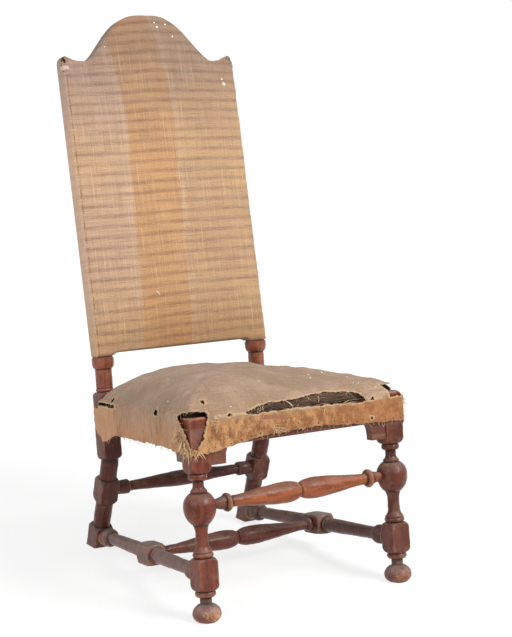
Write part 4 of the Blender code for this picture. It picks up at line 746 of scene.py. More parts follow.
def make_turned_wood():
    """Legs, posts and stretchers, finer than their CAD solids."""
    reds = {"left": wood_material("leg_wood_left", (0.146, 0.033, 0.016), 0.2),
            "right": wood_material("leg_wood_right", (0.108, 0.026, 0.014), 0.2)}
    dusty = {"left": wood_material("low_stretcher_wood_left", (0.126, 0.042, 0.034), 0.85),
             "right": wood_material("low_stretcher_wood_right", (0.083, 0.029, 0.021), 0.5)}
    # the posts' second tint, lighter and redder, paints a highlight on their necks
    dark = wood_material("post_wood", (0.088, 0.018, 0.01), 0.3, gloss=0.2, bare_grime_highlight_tint=(0.5, 0.17, 0.095))
    orange = wood_material("front_stretcher_wood", (0.27, 0.076, 0.027), 0.0, gloss=0.05,
                           bare_grime_highlight_tint=(0.12, 0.05, 0.033))
    plain = wood_material("medial_wood", (0.12, 0.029, 0.017), 0.15)
    for seed, (name, side) in enumerate(HANDS.items()):
        turned(f"leg_front_{name}", front_leg_runs(side, seed), reds[name], f"front_leg_{name}", bare_foot,
               True)
        turned(f"post_rear_{name}", post_runs(side, seed + 3), dark, f"rear_post_{name}", bare_neck, True)
        turned(f"stretcher_side_{name}", side_stretcher_runs(side, seed + 6), dusty[name],
               f"side_stretcher_{name}")
    face = FRONT_SPREAD / 2 - BALL_RADIUS
    half = joined((-face - 0.002, TENON_RADIUS), (-0.1765, 0.0135), bead(-0.1755, -0.1625, 0.0135, 0.019),
                  bulb_pair(0.0216, 0.0115, 0.1605))
    cross_stretcher("front", face, half, Z_AXIS * BALL_MIDDLE, (Y_AXIS, Z_AXIS), 0.0216, 9, orange, dark_ends)
    face = leg_axis(1.0, MEDIAL_AT) - MEDIAL_BLOCK
    half = joined((-face, TENON_RADIUS), bead(-face, -face + 0.012, 0.0118, 0.0145),
                  bulb_pair(0.0205, 0.0098, face - 0.014))
    middle = Y_AXIS * MEDIAL_AT + Z_AXIS * LOW_STRETCHER_HEIGHT
    cross_stretcher("medial", face, half, middle, (Y_AXIS, Z_AXIS), 0.0205, 10, plain)
    face = REAR_SPREAD / 2 - POST_FACE
    half = joined((-face, TENON_RADIUS), (-face, 0.0149), (-face + 0.031, 0.016), (-face + 0.034, 0.0136),
                  ease(-face + 0.035, 0.0, 0.0112, 0.0176))
    middle = post_point(0.0, POST_STRETCHER_AT)
    cross_stretcher("rear", face, half, middle, (POST_BACK, POST_UP), 0.0176, 11, dark)


def dress_rails():
    """Rails, brackets and pegs keep their CAD shape and take a wood finish."""
    rail = wood_material("rail_wood", (0.14, 0.045, 0.028), 0.1, (0.06, 1.0, 1.0))
    flank = wood_material("side_rail_wood", (0.11, 0.036, 0.024), 0.1, (1.0, 0.06, 1.0))
    peg = wood_material("peg_wood", (0.12, 0.05, 0.038), 0.1, (1.0, 1.0, 1.0))
    woods = {"front_seat": rail, "rear_seat": rail, "crest_rail": rail, "lower_back_rail": rail,
             "front_bracket": rail, "side_seat": flank, "side_bracket": flank, "peg_": peg}
    for name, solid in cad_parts.items():
        for start, material in woods.items():
            if name.startswith(start):
                solid.data.materials.clear()
                solid.data.materials.append(material)


make_turned_wood()
dress_rails()


# Seat upholstery

SEAT_GAP = 0.0021
POST_GAP = 0.003
CORNER_SOFT = 0.004
SEAT_SIDE = FRONT_SPREAD / 2 + LEG_FACE + SEAT_GAP
SEAT_CENTRE = np.array([0.0, SEAT_DEPTH / 2])
SEAT_EDGE = 0.399
SEAT_CROWN = 0.4675
ROUND_SEAT, TOP_ROWS, SKIRT_ROWS = 760, 66, 34
CLOTH_THICK = 0.0012
ROLL_Y, ROLL_Z, ROLL_RADIUS, ROLL_HALF = -0.0055, 0.401, 0.01, 0.2075
WEB_HALF, WEB_END, WEB_RISE = 0.025, 0.0165, 0.0017
OBLIQUE = (0.31, 0.52, 0.79)

# The tables are in millimetres. FACE is the front of the cloth.
FACE = -1000 * (LEG_FACE + SEAT_GAP + 0.0009)
# Front tear: x, and its upper and lower edge from the seat's edge
TEAR = ((-131, -3, -3), (-112, 3, -8), (-77, 10, -6.5), (-3, 12, -7), (67.5, 20, -9), (127.6, 12, -13),
        (150, 1, -15), (158, -10, -10))
# Open left corner: way from the seat's edge, and its left and right side from the corner
CORNER = ((-62, 6, 10), (-59, 0, 17), (-42, -10, 28), (-19, -21, 36.5), (0, -38, 41), (12, -44, 43))
# Holes: radius and place
SEAT_HOLES = ((4.4, -214, -9.5, 424.3), (8, -244, 123.2, 402), (7.5, -222.5, 362, 407),
              (3.4, 175.5, -23.7, 390), (3, -165, -23.7, 396), (3.6, 170, -23.7, 350))
# Hem of the cover: x and height in front, y and height at the sides
FRONT_HEM = ((-250, 327), (-217, 327), (-95, 346), (40, 350), (144, 341), (250, 337))
SIDE_HEM = ((-24, 327), (30, 330), (80, 335.5), (355, 335), (395, 318), (430, 316))
# Shreds: count, first and last root, heading, length, radius, shade, sag, curl
SHREDS = (
    (46, (-255.5, 24, 386), (-254.5, -16, 338), (-0.5, -0.2, -0.7), (8, 20), (0.3, 0.8), (0.35, 1), 0.5,
     0.35),
    (12, (-255.5, 20, 375), (-254.5, -14, 342), (-0.4, -0.4, -0.8), (16, 26), (1, 1.8), (0.15, 0.75), 0.4,
     0.2),
    (34, (-255, -18, 338), (-232, FACE, 331), (-0.1, -0.5, -0.6), (6, 14), (0.3, 0.7), (0.5, 1), 0.3, 0.7),
    (16, (-212, FACE, 392), (-196, FACE, 379), (0.6, -0.3, -0.3), (5, 12), (0.2, 0.5), (0.4, 1), 0.3, 0.5),
    (20, (-70, FACE, 363), (-52, FACE, 352), (0.8, -0.3, -0.3), (8, 22), (0.2, 0.5), (0.4, 1), 0.2, 0.35),
    (18, (160, FACE, 351), (181, FACE, 348), (0.3, -0.4, -0.5), (3, 9), (0.2, 0.4), (0, 0.8), 0.3, 0.7),
    (44, (253.7, -22.5, 394), (254.2, -15, 346), (0.6, -0.4, -0.4), (3, 10), (0.2, 0.6), (0.2, 1), 0.3, 0.5))
# Threads across the tear: both ends
ACROSS = (
    ((-93.5, -12, 409), (-101.1, FACE, 391.5)), ((-89, -13, 408), (-96, FACE, 392)),
    ((-86, -12, 406.5), (-87.8, FACE, 394.5)), ((-35, -14, 412), (-17.5, FACE, 393)),
    ((-33, -14, 410.5), (-16, FACE, 395)), ((102.4, FACE, 388.5), (120, -20, 392.5)),
    ((57.6, FACE, 391.1), (52.6, FACE, 370.1)), ((23, -10, 413), (26, -16, 400)),
    ((50, -8, 414), (48, -18, 396)))
# Lint on the seat by x and y, tacks of the hem and tack holes of the legs by x and z
SEAT_LINT = ((-234.5, 93.5), (-157.5, -20.9), (79.3, 61.3), (67, 37), (-46.8, 51.5), (157, 33), (149.5, 4.5),
             (161.3, 1.8), (191.8, -15.2), (118.1, 69.8), (-120, 160), (-165, 215))
HEM_TACKS = ((-22.4, 357.3), (-7.8, 361.4), (13, 354.7), (66.5, 354), (79, 355.5), (98.9, 350),
             (109.4, 349.5), (-97.6, 352), (-117.6, 349.4), (-140, 344), (-165, 340), (135, 347), (205, 344),
             (225, 344.5), (40, 356), (-50, 356), (-200, 337))
LEG_HOLES = ((-247.4, 385), (-244, 390.5), (-233.8, 388.5), (-224.3, 389), (-229, 384), (-240, 386),
             (-242, 318), (-234, 317.5), (235.2, 316.9), (238, 312.3), (223, 326), (-224, 323))


def seat_outline(count, gap):
    """Points round the seat at equal steps, `gap` outside the legs, corners softened, and arc lengths."""
    notch = SEAT_DEPTH - POST_FACE - POST_GAP
    inner = REAR_SPREAD / 2 - POST_FACE - POST_GAP
    side, front, rear = FRONT_SPREAD / 2 + LEG_FACE + gap, -LEG_FACE - gap, SEAT_DEPTH + LEG_FACE + gap
    half = np.array([(0, front), (side, front), (side, LEG_FACE),
                     (leg_axis(1.0, notch) + LEG_FACE + gap, notch), (inner, notch), (inner, rear),
                     (0, rear)])
    loop = np.r_[half, half[-2::-1] * (-1, 1)]
    arc = np.r_[0, np.cumsum(length(np.diff(loop, axis=0)))]
    steps = np.arange(count) / count * arc[-1]
    points = xyz(*(np.interp(steps, arc, column) for column in loop.T))
    turns = np.fft.fftfreq(count, arc[-1] / count) * 2 * np.pi
    blur = np.exp(-(turns * CORNER_SOFT) ** 2 / 2)[:, None]
    return np.fft.ifft(np.fft.fft(points, axis=0) * blur, axis=0).real, steps, arc[-1]


def seat_height(plan, share):
    """Height of the seat's top: a dome over the share of the way out, fuller in front, lower at right."""
    x, y = parts_of(plan)
    fullness = 0.6 + (0.4 - 0.214 * smooth_step(-x, -0.02, 0.15)) * np.clip(y / 0.2, 0, 1)
    dome = np.maximum(0.0, 1 - share ** 2.3) ** fullness
    lumps = 0.0018 * waves(plan, 0.15, 31) + 0.001 * waves(plan, 0.05, 32)
    rise = (SEAT_CROWN - SEAT_EDGE - 0.09 * x) * dome
    return SEAT_EDGE + rise + (lumps + 0.001) * np.clip(dome * 1.6, 0, 1)


def seat_sheet(count, gap, top_rows, skirt_rows=0, sunk=0.0, hem=0.0):
    """Rows from the seat's middle to its edge and down a skirt: dome over share, then drop to the hem."""
    outline = seat_outline(count, gap)[0]
    share = 1 - (1 - np.linspace(0.004, 1, top_rows))[:, None] ** 1.8
    plan = SEAT_CENTRE + share[..., None] * (outline - SEAT_CENTRE)
    top = xyz(*parts_of(plan), seat_height(plan, share) - sunk)
    edge = top[-1, :, 2]
    return np.r_[top, xyz(*outline.T, edge + (hem - edge) * even(skirt_rows + 1)[1:, None])]


def seat_hem(outline, arc):
    """Height of the cover's ragged lower edge round the seat."""
    x, y = outline.T
    front, side = from_table(x, FRONT_HEM)[0], from_table(y, SIDE_HEM)[0]
    hem = np.where(y < -LEG_FACE + 0.002, front, side)
    hem = np.where(y > SEAT_DEPTH - POST_FACE - 0.006, np.where(np.abs(x) < 0.169, 0.34, 0.393), hem)
    hem = np.convolve(np.pad(hem, 3, "wrap"), np.ones(7) / 7, "valid")
    ragged = waves(xyz(np.cos(arc * 3.3), np.sin(arc * 3.3)) * 3, 0.16, 41)
    return hem + 0.001 * ragged + 0.0005 * waves(outline, 0.012, 42)


def from_table(value, table):
    """Each later column of a table, read off at a value of the first."""
    first, *rest = np.array(table).T / 1000
    return [np.interp(value, first, column) for column in rest]


def torn(points, arc, whole, inward):
    """Where the seat cover is gone: above zero in the front tear, the open corners, a slit and small holes.

    Each is the smallest of its margins. `inward` is the way from the seat's edge, below zero down the skirt.
    """
    x, y, _ = parts_of(points)
    rough = 0.001 * waves(points, 0.016, 51) + 0.0007 * waves(points, 0.006, 52)
    top, foot = from_table(x, TEAR)
    left, right = from_table(inward, CORNER)
    beyond, past = arc - SEAT_SIDE, arc - (whole - SEAT_SIDE)
    arch = 0.0125 - 5.0 * (past - 0.002) ** 2
    gone = [np.where(near, xyz(*margins).min(-1) + share * rough, -1.0) for near, share, margins in (
        ((np.abs(x) < 0.2) & (y < 0.06), 1.0, (top - inward, inward - foot)),
        ((x < -0.15) & (y < 0.08), 1.0, (past - left, right - past, arch - inward, inward + 0.062)),
        ((x > 0.15) & (y < 0.08), 1.0, (beyond + 0.036, 0.046 - beyond, inward + 0.01, 0.027 - inward)),
        ((x < -0.2) & (y < 0.434), 0.15, ((y - 0.345) * 0.35, 0.0012 - inward, inward + 0.0055)))]
    gone += [size - length(points - place) + rough for size, *place in np.array(SEAT_HOLES) / 1000]
    return np.max(gone, axis=0)


def make_seat_cover():
    """The linen seat cover: domed top, skirts nailed to the rails, wrinkles, tears."""
    outline, arc, whole = seat_outline(ROUND_SEAT, SEAT_GAP)
    points = seat_sheet(ROUND_SEAT, SEAT_GAP, TOP_ROWS, SKIRT_ROWS, hem=seat_hem(outline, arc))
    cloth = points * (1, 1, 0)
    out = unit((np.roll(outline, -1, 0) - np.roll(outline, 1, 0))[:, ::-1] * (1, -1))
    fall = np.maximum(0.0, points[TOP_ROWS - 1, :, 2] - points[..., 2])
    fall[:TOP_ROWS] = 0.0
    cloth[..., :2] += out * fall[..., None]
    x, y, z = parts_of(points)
    on_side = smooth_step(z, 0.43, 0.39)
    folds = np.abs(waves(xyz(x * 0.2, y, z * 0.35), 0.034, 61)) * on_side * smooth_step(y, -0.015, 0.01)
    pull = waves(xyz(x + y, x - y, z), 0.05, 62) * smooth_step(np.hypot(np.abs(x) - 0.24, y), 0.12, 0.02)
    points[..., :2] += out * (0.0034 * folds + 0.0004)[..., None]
    points[..., 2] += 0.0016 * pull * (1 - on_side)
    way = np.cumsum(length(np.diff(points, axis=0, prepend=points[:1])), 0)
    gone = torn(points, arc, whole, way[TOP_ROWS - 1] - way)
    lip = np.exp(-(np.minimum(gone, 0) / 0.004) ** 2) * (gone < 0)
    points[..., :2] += out * (0.002 * lip * (0.4 + waves(points, 0.02, 63)).clip(0))[..., None]
    quads = grid_quads(*gone.shape, True)
    piece = make_piece("seat_linen_cover", points, SEAT_LINEN, "seat_cloth", "seat_cover",
                       quads[gone.ravel()[quads].mean(1) < 0], cloth=cloth, bench=points, tattered=lip)
    make_seat_threads(points, gone)
    return thicken(piece, CLOTH_THICK)


def fray(roots, heading, reach, radius, shade, sag, curl, seed):
    """Loose threads: from each root along a heading, bent by a random curl, sagging with the way squared."""
    rng = np.random.default_rng(seed)
    count = len(roots)
    way = even(9)[:, None]
    lead = unit(np.asarray(heading) + curl * rng.normal(0, 1, (count, 3)))
    bend = curl * rng.normal(0, 1, (count, 3)) - (0, 0, sag)
    reach = rng.uniform(*reach, (count, 1, 1)) / 1000
    paths = roots[:, None] + reach * (lead[:, None] * way + bend[:, None] * way ** 2)
    return paths, rng.uniform(*radius, count) / 1000, rng.uniform(*shade, count)


def scattered(count, low, high, seed):
    """Random places along the line from `low` to `high`."""
    rng = np.random.default_rng(seed)
    line = np.asarray(low) + (np.asarray(high) - low) * rng.random((count, 1))
    return (line + rng.normal(0, 1.2, (count, 3)) * (1, 0.2, 1)) / 1000


def nearest(points, flat, places):
    """The points whose flat coordinates come nearest to the places."""
    away = length(flat.reshape(1, -1, 2) - np.asarray(places)[:, None] / 1000)
    return points.reshape(-1, 3)[away.argmin(1)]


def make_seat_threads(points, gone):
    """Frayed threads along tears and hem, shreds at the corners, threads across the tear; lint and tacks."""
    rng = np.random.default_rng(141)
    rim = points[(gone < -0.0002) & (gone > -0.0016)]
    front = rim[(rim[:, 1] < 0.03) & (np.abs(rim[:, 0]) < 0.17)]
    corner = rim[(rim[:, 0] < -0.2) & (rim[:, 1] < 0.06)]
    hem = points[-1][points[-1][:, 1] < 0.4]
    sets = [fray(rng.choice(front, 130), (0, -0.6, -0.1), (2, 8), (0.12, 0.26), (0.3, 1), 0.3, 0.6, 142),
            fray(rng.choice(corner, 70), (-0.3, -0.4, 0), (2, 9), (0.15, 0.35), (0.3, 1), 0.3, 0.5, 143),
            fray(rng.choice(hem, 190), (0, -0.1, -0.8), (2, 8), (0.14, 0.3), (0.1, 0.9), 0.2, 0.5, 144)]
    for seed, shred in enumerate(SHREDS):
        sets.append(fray(scattered(*shred[:3], 145 + 2 * seed), *shred[3:], 146 + 2 * seed))
    way = even(9)[:, None]
    first, last = np.array(ACROSS).transpose(1, 0, 2)[:, :, None] / 1000
    across = first * (1 - way) + last * way + np.array([0.0, -0.004, 0.0012]) * np.sin(np.pi * way)
    sets.append((across, np.full(len(across), 0.00048), np.full(len(across), 0.95)))
    strands("seat_threads", *map(np.concatenate, zip(*sets)), THREAD, "seat_cloth")
    top = points[:TOP_ROWS]
    lint = nearest(top, top[..., :2], SEAT_LINT) + Z_AXIS * CLOTH_THICK
    heads("seat_lint", lint, (0, -0.2, 1), rng.uniform(1.4, 2.3, len(lint)), LINT, "seat_cloth", 0.35, 1.0)
    for name, table, y, radii, slot, height in (
            ("hem_tacks", HEM_TACKS, FACE - 0.6, (1.2, 2.0), "seat_cloth", 0.4),
            ("leg_tack_holes", LEG_HOLES, -1000 * LEG_FACE, (0.9, 1.4), "turned_wood", 0.15)):
        places = np.insert(np.array(table), 1, y, axis=1) / 1000
        heads(name, places, (0, -1, 0), rng.uniform(*radii, len(places)), IRON, slot, height)


def square_to(along):
    """Two unit ways square to each unit way."""
    across = unit(np.cross(along, OBLIQUE))
    return across, np.cross(along, across)


def copies(count, rows, columns):
    """Quads of many closed grids, one after another."""
    first = np.arange(count)[:, None, None] * rows * columns
    return (grid_quads(rows, columns, True) + first).reshape(-1, 4)


def heads(name, places, facing, radius, material, slot, height=0.4, shade=0.5):
    """Small round caps over two angles: radius times sine across, part of it times cosine along `facing`."""
    facing = unit(np.array(facing, float))
    across, up = square_to(facing)
    rise, turn = np.linspace(0, np.pi / 2, 5)[:, None, None], np.arange(10)[:, None] * np.pi / 5
    cap = np.sin(rise) * (np.cos(turn) * across + np.sin(turn) * up) + height * np.cos(rise) * facing
    points = places[:, None, None] + radius[:, None, None, None] / 1000 * cap
    make_piece(name, points, material, slot, quads=copies(len(places), 5, 10), shade=shade)


def strands(name, paths, radius, shade, material, slot, sides=5):
    """Many thin tubes at once: a ring of points round each place on each path, thinner towards the ends."""
    count, steps = paths.shape[:2]
    across, up = square_to(unit(np.gradient(paths, axis=1)))
    turn = (np.arange(sides) * 2 * np.pi / sides)[:, None]
    thin = radius[:, None] * np.sqrt(np.clip(1.03 - np.linspace(-1, 1, steps) ** 6, 0.05, 1))
    ring = across[:, :, None] * np.cos(turn) + up[:, :, None] * np.sin(turn)
    make_piece(name, paths[:, :, None] + ring * thin[:, :, None, None], material, slot,
               quads=copies(count, steps, sides), shade=np.repeat(shade, steps * sides))


def on_roll(x, size, turn):
    """Points round the grass roll's axis."""
    return xyz(x, ROLL_Y + size * np.cos(turn), ROLL_Z + size * np.sin(turn))


def make_seat_inside():
    """What lies under the cover: stuffing, and the grass roll that shows in the tear."""
    points = seat_sheet(260, -0.011, 40, 10, 0.0062, 0.3925)
    points = np.r_[points, 0 * points[-1:] + points[-1].mean(0)]
    points[:40, :, 2] += 0.0012 * waves(points[:40], 0.03, 71)
    points[..., 1] = np.maximum(points[..., 1], 0.0085)
    pad = make_piece("seat_stuffing_pad", points, GRASS, "stuffing", "seat_stuffing", closed=True, shade=0.25)
    turn, x = np.meshgrid(np.arange(40) * np.pi / 20, np.linspace(-ROLL_HALF, ROLL_HALF, 180))
    end = np.sqrt(np.clip(1 - (np.abs(x) / (ROLL_HALF + 0.0003)) ** 30, 0.02, 1))
    lumps = waves(xyz(x, np.cos(turn) * 0.01, np.sin(turn) * 0.01), 0.02, 72)
    roll = on_roll(x, (ROLL_RADIUS + 0.0006 * lumps) * end, turn)
    make_piece("grass_roll", roll, GRASS, "edge_roll", "seat_edge_roll", closed=True,
               shade=0.12 + 0.1 * waves(roll, 0.01, 73))
    rng = np.random.default_rng(74)
    one_each = (420, 1)
    start, reach = rng.uniform(-0.15, 0.13, one_each), rng.uniform(0.03, 0.1, one_each)
    turn = rng.uniform(0.55, 1.32, one_each) * np.pi
    way = even(12)
    turn = turn + rng.normal(0, 0.35, one_each) * (way - 0.5) * 2
    size = ROLL_RADIUS + 0.0004 + rng.uniform(0.0, 0.0014, one_each)
    size = size + 0.0008 * np.sin(way * np.pi * rng.uniform(1, 3, one_each))
    strands("grass_strands", on_roll(start + reach * way, size, turn), rng.uniform(0.0004, 0.001, 420),
            rng.beta(1.2, 3.0, 420), GRASS, "edge_roll")


def make_web(name, x, y, at, others, over):
    """A girth web over the rails: at each crossing it rises smoothly over the other web, or stays under."""
    rise = sum(smooth_step(np.abs(at - other), 0.034, 0.024) * max(0.0, over * (-1) ** turn)
               for turn, other in enumerate(others))
    return thicken(make_piece(name, xyz(x, y, RAIL_TOP + 0.0008 + rise), WEB_LINEN, "webbing", f"seat_{name}",
                              cloth=xyz(x - x.min(), y - y.min(), 0)), CLOTH_THICK)


def make_webbing():
    """Girth webs woven over and under each other, and the sackcloth that they carry."""
    columns = np.array([-0.115, 0.0, 0.115])
    rows = SEAT_DEPTH * np.array([0.25, 0.5, 0.75])
    width = np.linspace(-WEB_HALF, WEB_HALF, 12)
    for index, middle in enumerate(columns):
        x, y = np.meshgrid(middle + width, np.linspace(-WEB_END, SEAT_DEPTH + WEB_END, 160))
        piece = make_web(f"web_long_{index + 1}", x, y, y, rows, WEB_RISE * (-1) ** index)
    for index, middle in enumerate(rows):
        reach = leg_axis(1.0, middle) + WEB_END
        x, y = np.meshgrid(np.linspace(-reach, reach, 160), middle + width)
        piece = make_web(f"web_cross_{index + 1}", x, y, x, columns, -WEB_RISE * (-1) ** index)
    points = seat_sheet(300, -0.007, 30)
    points[..., 2] = 0.3911 + 0.0002 * waves(points, 0.03, 81)
    sheet = thicken(make_piece("sackcloth_seat", points, SACK_LINEN, "sackcloth", "seat_sackcloth",
                               closed=True, cloth=points * (1, 1, 0)), 0.0009)


def make_tabs():
    """The ends of the seat cloth nailed round the rear posts: strips with a rounded foot, puffed out."""
    u, v = np.meshgrid(even(40), even(50))
    plan = xyz(u, v)
    width = 0.037 * np.sqrt(np.clip(1 - (np.clip(v - 0.52, 0, 1) / 0.49) ** 2, 0.03, 1))
    y = SEAT_DEPTH - POST_FACE + u * width + 0.0008 * waves(plan, 0.3, 95)
    z = RAIL_TOP - 0.063 * v + 0.0006 * waves(plan, 0.25, 96)
    x = REAR_SPREAD / 2 + POST_FACE + 0.0016 + 0.001 * waves(plan * (1, 2), 0.6, 97).clip(0)
    quads = grid_quads(50, 40)
    for name, side in HANDS.items():
        points = xyz(side * x, y, z)
        piece = make_piece(f"tab_{name}", points, SEAT_LINEN, "seat_cloth", f"seat_tab_{name}",
                           quads if side < 0 else quads[:, ::-1], cloth=xyz(y, z, 0), bench=points,
                           tattered=0.25)


# Back upholstery

BACK_GAP = 0.002
EDGE_ROUND = 0.0045
BACK_BASE = np.array([0.0, SEAT_DEPTH, CAPITAL_TOP])
EAR_START, EAR_END = 0.165, 0.205
COVER_GRID, COVER_DEEP, PAD_GRID = (210, 150), 10, (110, 80)
# Marks in millimetres: x, rise and radius of lint and tacks, and the ends of one slit
BACK_LINT = ((20.3, 737.8, 1.8), (26.5, 726.4, 2.4), (47.9, 733.5, 1.8), (62.2, 705.9, 1.8),
             (178.5, 606.7, 1.8), (182.1, 595, 2.6), (181.5, 597.5, 2.4), (-109.8, 681.9, 1.2))
BACK_TACKS = ((-215, 653, 2.4), (-216, 642, 1.8), (-214, 628, 1.8), (200, 656, 2), (208, 652, 1.8),
              (212.5, 645, 1.8), (214.5, 638, 2.2), (-73.8, 730.1, 1.1), (-94.8, 720.8, 1.1),
              (-106, 87.3, 1.2))
BACK_SLIT = ((-60.2, 136.5), (-50, 123.5))


def crest_top(x):
    """Height of the crest along the back: an arch between two ears."""
    x = np.abs(x)
    arch = 0.104 * np.clip(1 - (x / EAR_START) ** 3, 0, 1) ** 2.35
    ear = 0.0115 * np.clip((x - EAR_START) / (EAR_END - EAR_START), 0, 1) ** 2
    drop = np.clip((x - EAR_END) / (BACK_HALF - EAR_END), 0, 1)
    return STILE_LENGTH + 0.06 + arch + ear - 0.016 * (1 - np.sqrt(1 - drop ** 2))


def back_face(rows, columns, gap, forward, hem=None):
    """Flat coordinates and points of the back: x spreads to the crest's outline, rise runs hem to crest."""
    share = np.sin(np.linspace(-1, 1, columns) * np.pi / 2)
    level = 0.5 - 0.5 * np.cos(np.linspace(0, np.pi, rows))[:, None]
    xs = share * BACK_HALF
    tops = crest_top(xs)
    square = unit(xyz(-np.gradient(tops), np.gradient(xs)))
    square[[0, -1]] = ((-1, 0), (1, 0))
    xs, tops = parts_of(xyz(xs, tops) + gap * square)
    foot = share * (BACK_HALF + gap)
    bottom = hem(foot) if hem else LOWER_RAIL_BOTTOM - gap
    flat = xyz(foot + (xs - foot) * level ** 4, bottom + (tops - bottom) * level, 0)
    off = forward(share, level) + 0 * flat[..., 2]
    return flat, BACK_BASE + flat[..., :1] * X_AXIS + flat[..., 1:2] * BACK_UP + off[..., None] * BACK_FRONT


def back_swell(share, level):
    """How far the cover stands forward: a low cushion that falls away at the edges."""
    fall = (1 - share ** 4) * (1 - (2 * level - 1) ** 6)
    near = np.minimum((1 - np.abs(share)) * BACK_HALF, np.minimum(level, 1 - level) * STILE_LENGTH)
    rolled = EDGE_ROUND - np.sqrt(np.clip(EDGE_ROUND ** 2 - (EDGE_ROUND - near).clip(0) ** 2, 0, None))
    return STILE_DEPTH / 2 + 0.0057 + 0.015 * fall.clip(0) ** 0.7 - rolled


def back_hem(x):
    """Lower edge of the back cover: along the rail, and down to the capitals where it wraps the stiles."""
    wrap = smooth_step(np.abs(x), 0.16, 0.179)
    return (LOWER_RAIL_BOTTOM - BACK_GAP - 0.003) * (1 - wrap) + 0.0012 * wrap


def border(rows, columns):
    """Numbers of the points round a grid, from its first corner up, across, down and back."""
    index = np.arange(rows * columns).reshape(rows, columns)
    return np.r_[index[:, 0], index[-1, 1:], index[-2::-1, -1], index[0, -2:0:-1]]


def make_back_cover():
    """Front cover of the back: its face, and edges turned straight back to the stiles, torn at the ears."""
    flat, face = back_face(*COVER_GRID, BACK_GAP, back_swell, back_hem)
    dimple = 0.0009 * waves(flat[..., :2], 0.09, 91) + 0.0004 * waves(flat[..., :2], 0.03, 92)
    face = face + dimple[..., None] * BACK_FRONT
    flat, face = flat.reshape(-1, 3), face.reshape(-1, 3)
    path = border(*COVER_GRID)
    depth = (face[path] - BACK_BASE) @ BACK_FRONT
    way = even(COVER_DEEP + 1)[1:, None]
    skirt = face[path] + (way * (-STILE_DEPTH / 2 - depth))[..., None] * BACK_FRONT
    points = np.r_[face, skirt.reshape(-1, 3)]
    sides = flat[path] + (way * 0.03)[..., None] * np.sign(flat[path][:, :1]) * X_AXIS
    cloth = np.r_[flat, sides.reshape(-1, 3)]
    strip = np.r_[path[None], len(flat) + np.arange(COVER_DEEP * len(path)).reshape(COVER_DEEP, -1)]
    edges = between(np.c_[strip, strip[:, :1]])
    middle = points[edges].mean(1)
    under = (middle[:, 2] < CAPITAL_TOP + 0.02) & (np.abs(middle[:, 0]) > 0.172)
    low = np.abs(cloth[edges].mean(1)[:, 1] - cloth[:, 1].min()) < 0.002
    quads = np.r_[grid_quads(*COVER_GRID), edges[~(under & low)]]
    tip = np.hypot(np.abs(cloth[:, 0]) - 0.213, cloth[:, 1] - 0.655)
    gone = 0.0065 - tip + 0.003 * waves(cloth[:, :2], 0.012, 93)
    piece = make_piece("back_striped_cover", points, BACK_STRIPE, "back_cloth", "back_cover",
                       quads[gone[quads].mean(1) < 0], cloth=cloth, tattered=np.exp(-(tip / 0.016) ** 2))
    make_back_marks(flat[:, :2], face)
    return thicken(piece, 0.0011)


def make_back_marks(flat, face):
    """Small marks on the back cover: a slit and lint, tacks at the torn ears, threads along the edges."""
    lint, tacks = np.array(BACK_LINT), np.array(BACK_TACKS)
    heads("back_lint", nearest(face, flat, lint[:, :2]), BACK_FRONT, lint[:, 2], LINT, "back_cloth", 0.3, 1.0)
    first, last = nearest(face, flat, BACK_SLIT) + BACK_FRONT * 0.0005
    slit = first + (last - first) * even(5)[None, :, None]
    strands("back_slit", slit, np.array([0.0009]), np.array([1.0]), LINT, "back_cloth")
    heads("back_tacks", nearest(face, flat, tacks[:, :2]), BACK_FRONT, tacks[:, 2], IRON, "back_cloth", 0.45)
    rng = np.random.default_rng(161)
    rise = rng.uniform(20, 630, 70)
    roots = nearest(face, flat, xyz(np.where(rng.random(70) < 0.7, -216, 216), rise))
    threads = fray(roots, (-0.1, -0.3, -0.9), (4, 16), (0.15, 0.4), (0.3, 1), 0.1, 0.25, 162)
    strands("back_edge_threads", *threads, THREAD, "back_cloth")


def make_back_inside():
    """Outer cover, sackcloth and stuffing of the back."""
    flat, face = back_face(130, 90, -0.004, lambda *_: -STILE_DEPTH / 2 - 0.0016)
    face = face - 0.0004 * np.abs(waves(face, 0.07, 94))[..., None] * BACK_FRONT
    outer = make_piece("back_outer_linen", face, OUTER_LINEN, "outer_back_cloth", "back_outer_cover",
                       grid_quads(130, 90)[:, ::-1], cloth=flat)
    flat, face = back_face(100, 70, -0.009, lambda *_: STILE_DEPTH / 2 + 0.0009)
    inner = make_piece("back_sackcloth_sheet", face, SACK_LINEN, "sackcloth", "back_sackcloth", cloth=flat)
    sides = np.stack([back_face(*PAD_GRID, -0.012, forward)[1] for forward in (
        lambda *at: back_swell(*at) - 0.006, lambda *_: STILE_DEPTH / 2 + 0.0022)])
    quads, loop, behind = grid_quads(*PAD_GRID), border(*PAD_GRID), PAD_GRID[0] * PAD_GRID[1]
    wall = xyz(loop, np.roll(loop, -1), np.roll(loop, -1) + behind, loop + behind)
    pad = make_piece("back_stuffing_pad", sides, HAIR, "stuffing", "back_stuffing",
                     np.r_[quads, quads[:, ::-1] + behind, wall], shade=0.4)
    return outer, inner


cover = make_seat_cover()
make_seat_inside()
make_webbing()
make_tabs()
back_pieces = (make_back_cover(), *make_back_inside())


# Picture

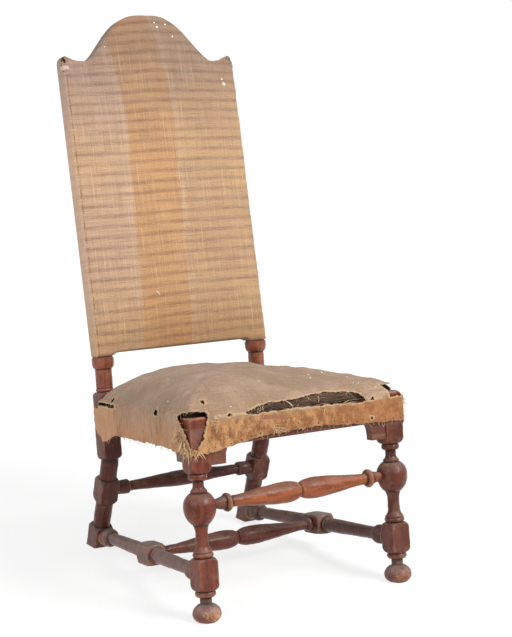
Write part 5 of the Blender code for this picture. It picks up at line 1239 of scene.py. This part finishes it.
FLOOR_HALF = 14.0
LAMPS = (("key", (1.7, -3.0, 3.2), (0.0, 0.0, 0.5), 1.6, 190.0),
         ("fill", (-3.2, -1.4, 2.2), (0.0, 0.0, 0.4), 2.2, 60.0))
CAMERA_SHIFT = SHIFT_Y + 0.22


def show(name, data, place=(0.0, 0.0, 0.0), target=None):
    """An object at a place, turned to look at a target."""
    shown = bpy.data.objects.new(name, data)
    shown.location = place
    if target:
        shown.rotation_euler = (Vector(target) - Vector(place)).to_track_quat("-Z", "Y").to_euler()
    bpy.context.scene.collection.objects.link(shown)
    return shown


def make_stage():
    """Pale floor, soft studio light and the camera at the photograph's angle."""
    scene = bpy.context.scene
    mesh = bpy.data.meshes.new("floor")
    corners = [(x * FLOOR_HALF, y * FLOOR_HALF, 0) for x, y in ((-1, -1), (1, -1), (1, 1), (-1, 1))]
    mesh.from_pydata(corners, [], [(0, 1, 2, 3)])
    material, tree, shader = new_material("pale_floor")
    away = Wire(add(tree, "ShaderNodeVectorMath", {"operation": "LENGTH"}, object_place(tree))["Value"])
    fill(shader, Base_Color=(0.22, 0.22, 0.22), Emission_Color=(1.0, 1.0, 1.0), Roughness=0.9,
         Emission_Strength=away.span(0.6, 3.0, 0.77, 0.95), Specular_IOR_Level=0.1)
    mesh.materials.append(material)
    floor = show("floor", mesh)
    scene.world = bpy.data.worlds.new("studio")
    scene.world.use_nodes = True
    tree = scene.world.node_tree
    height = Wire(add(tree, "ShaderNodeTexCoord", {})["Generated"]).parts()[2]
    fill(tree.nodes["Background"], Color=(1.0, 1.0, 1.0), Strength=height.span(0.06, 0.2, 1.05, 0.5))
    for name, place, target, size, power in LAMPS:
        light = bpy.data.lights.new(name, "AREA")
        light.size, light.energy = size, power
        show(name, light, place, target)
    camera = bpy.data.cameras.new("camera")
    camera.lens, camera.sensor_width, camera.clip_end = 90.14, 36.0, 100.0
    scene.camera = show("camera", camera, (-1.7005, -2.789 + CAMERA_SHIFT, 1.086),
                        (0.016, CAMERA_SHIFT, 0.542))
    scene.view_settings.view_transform = "Standard"


make_stage()
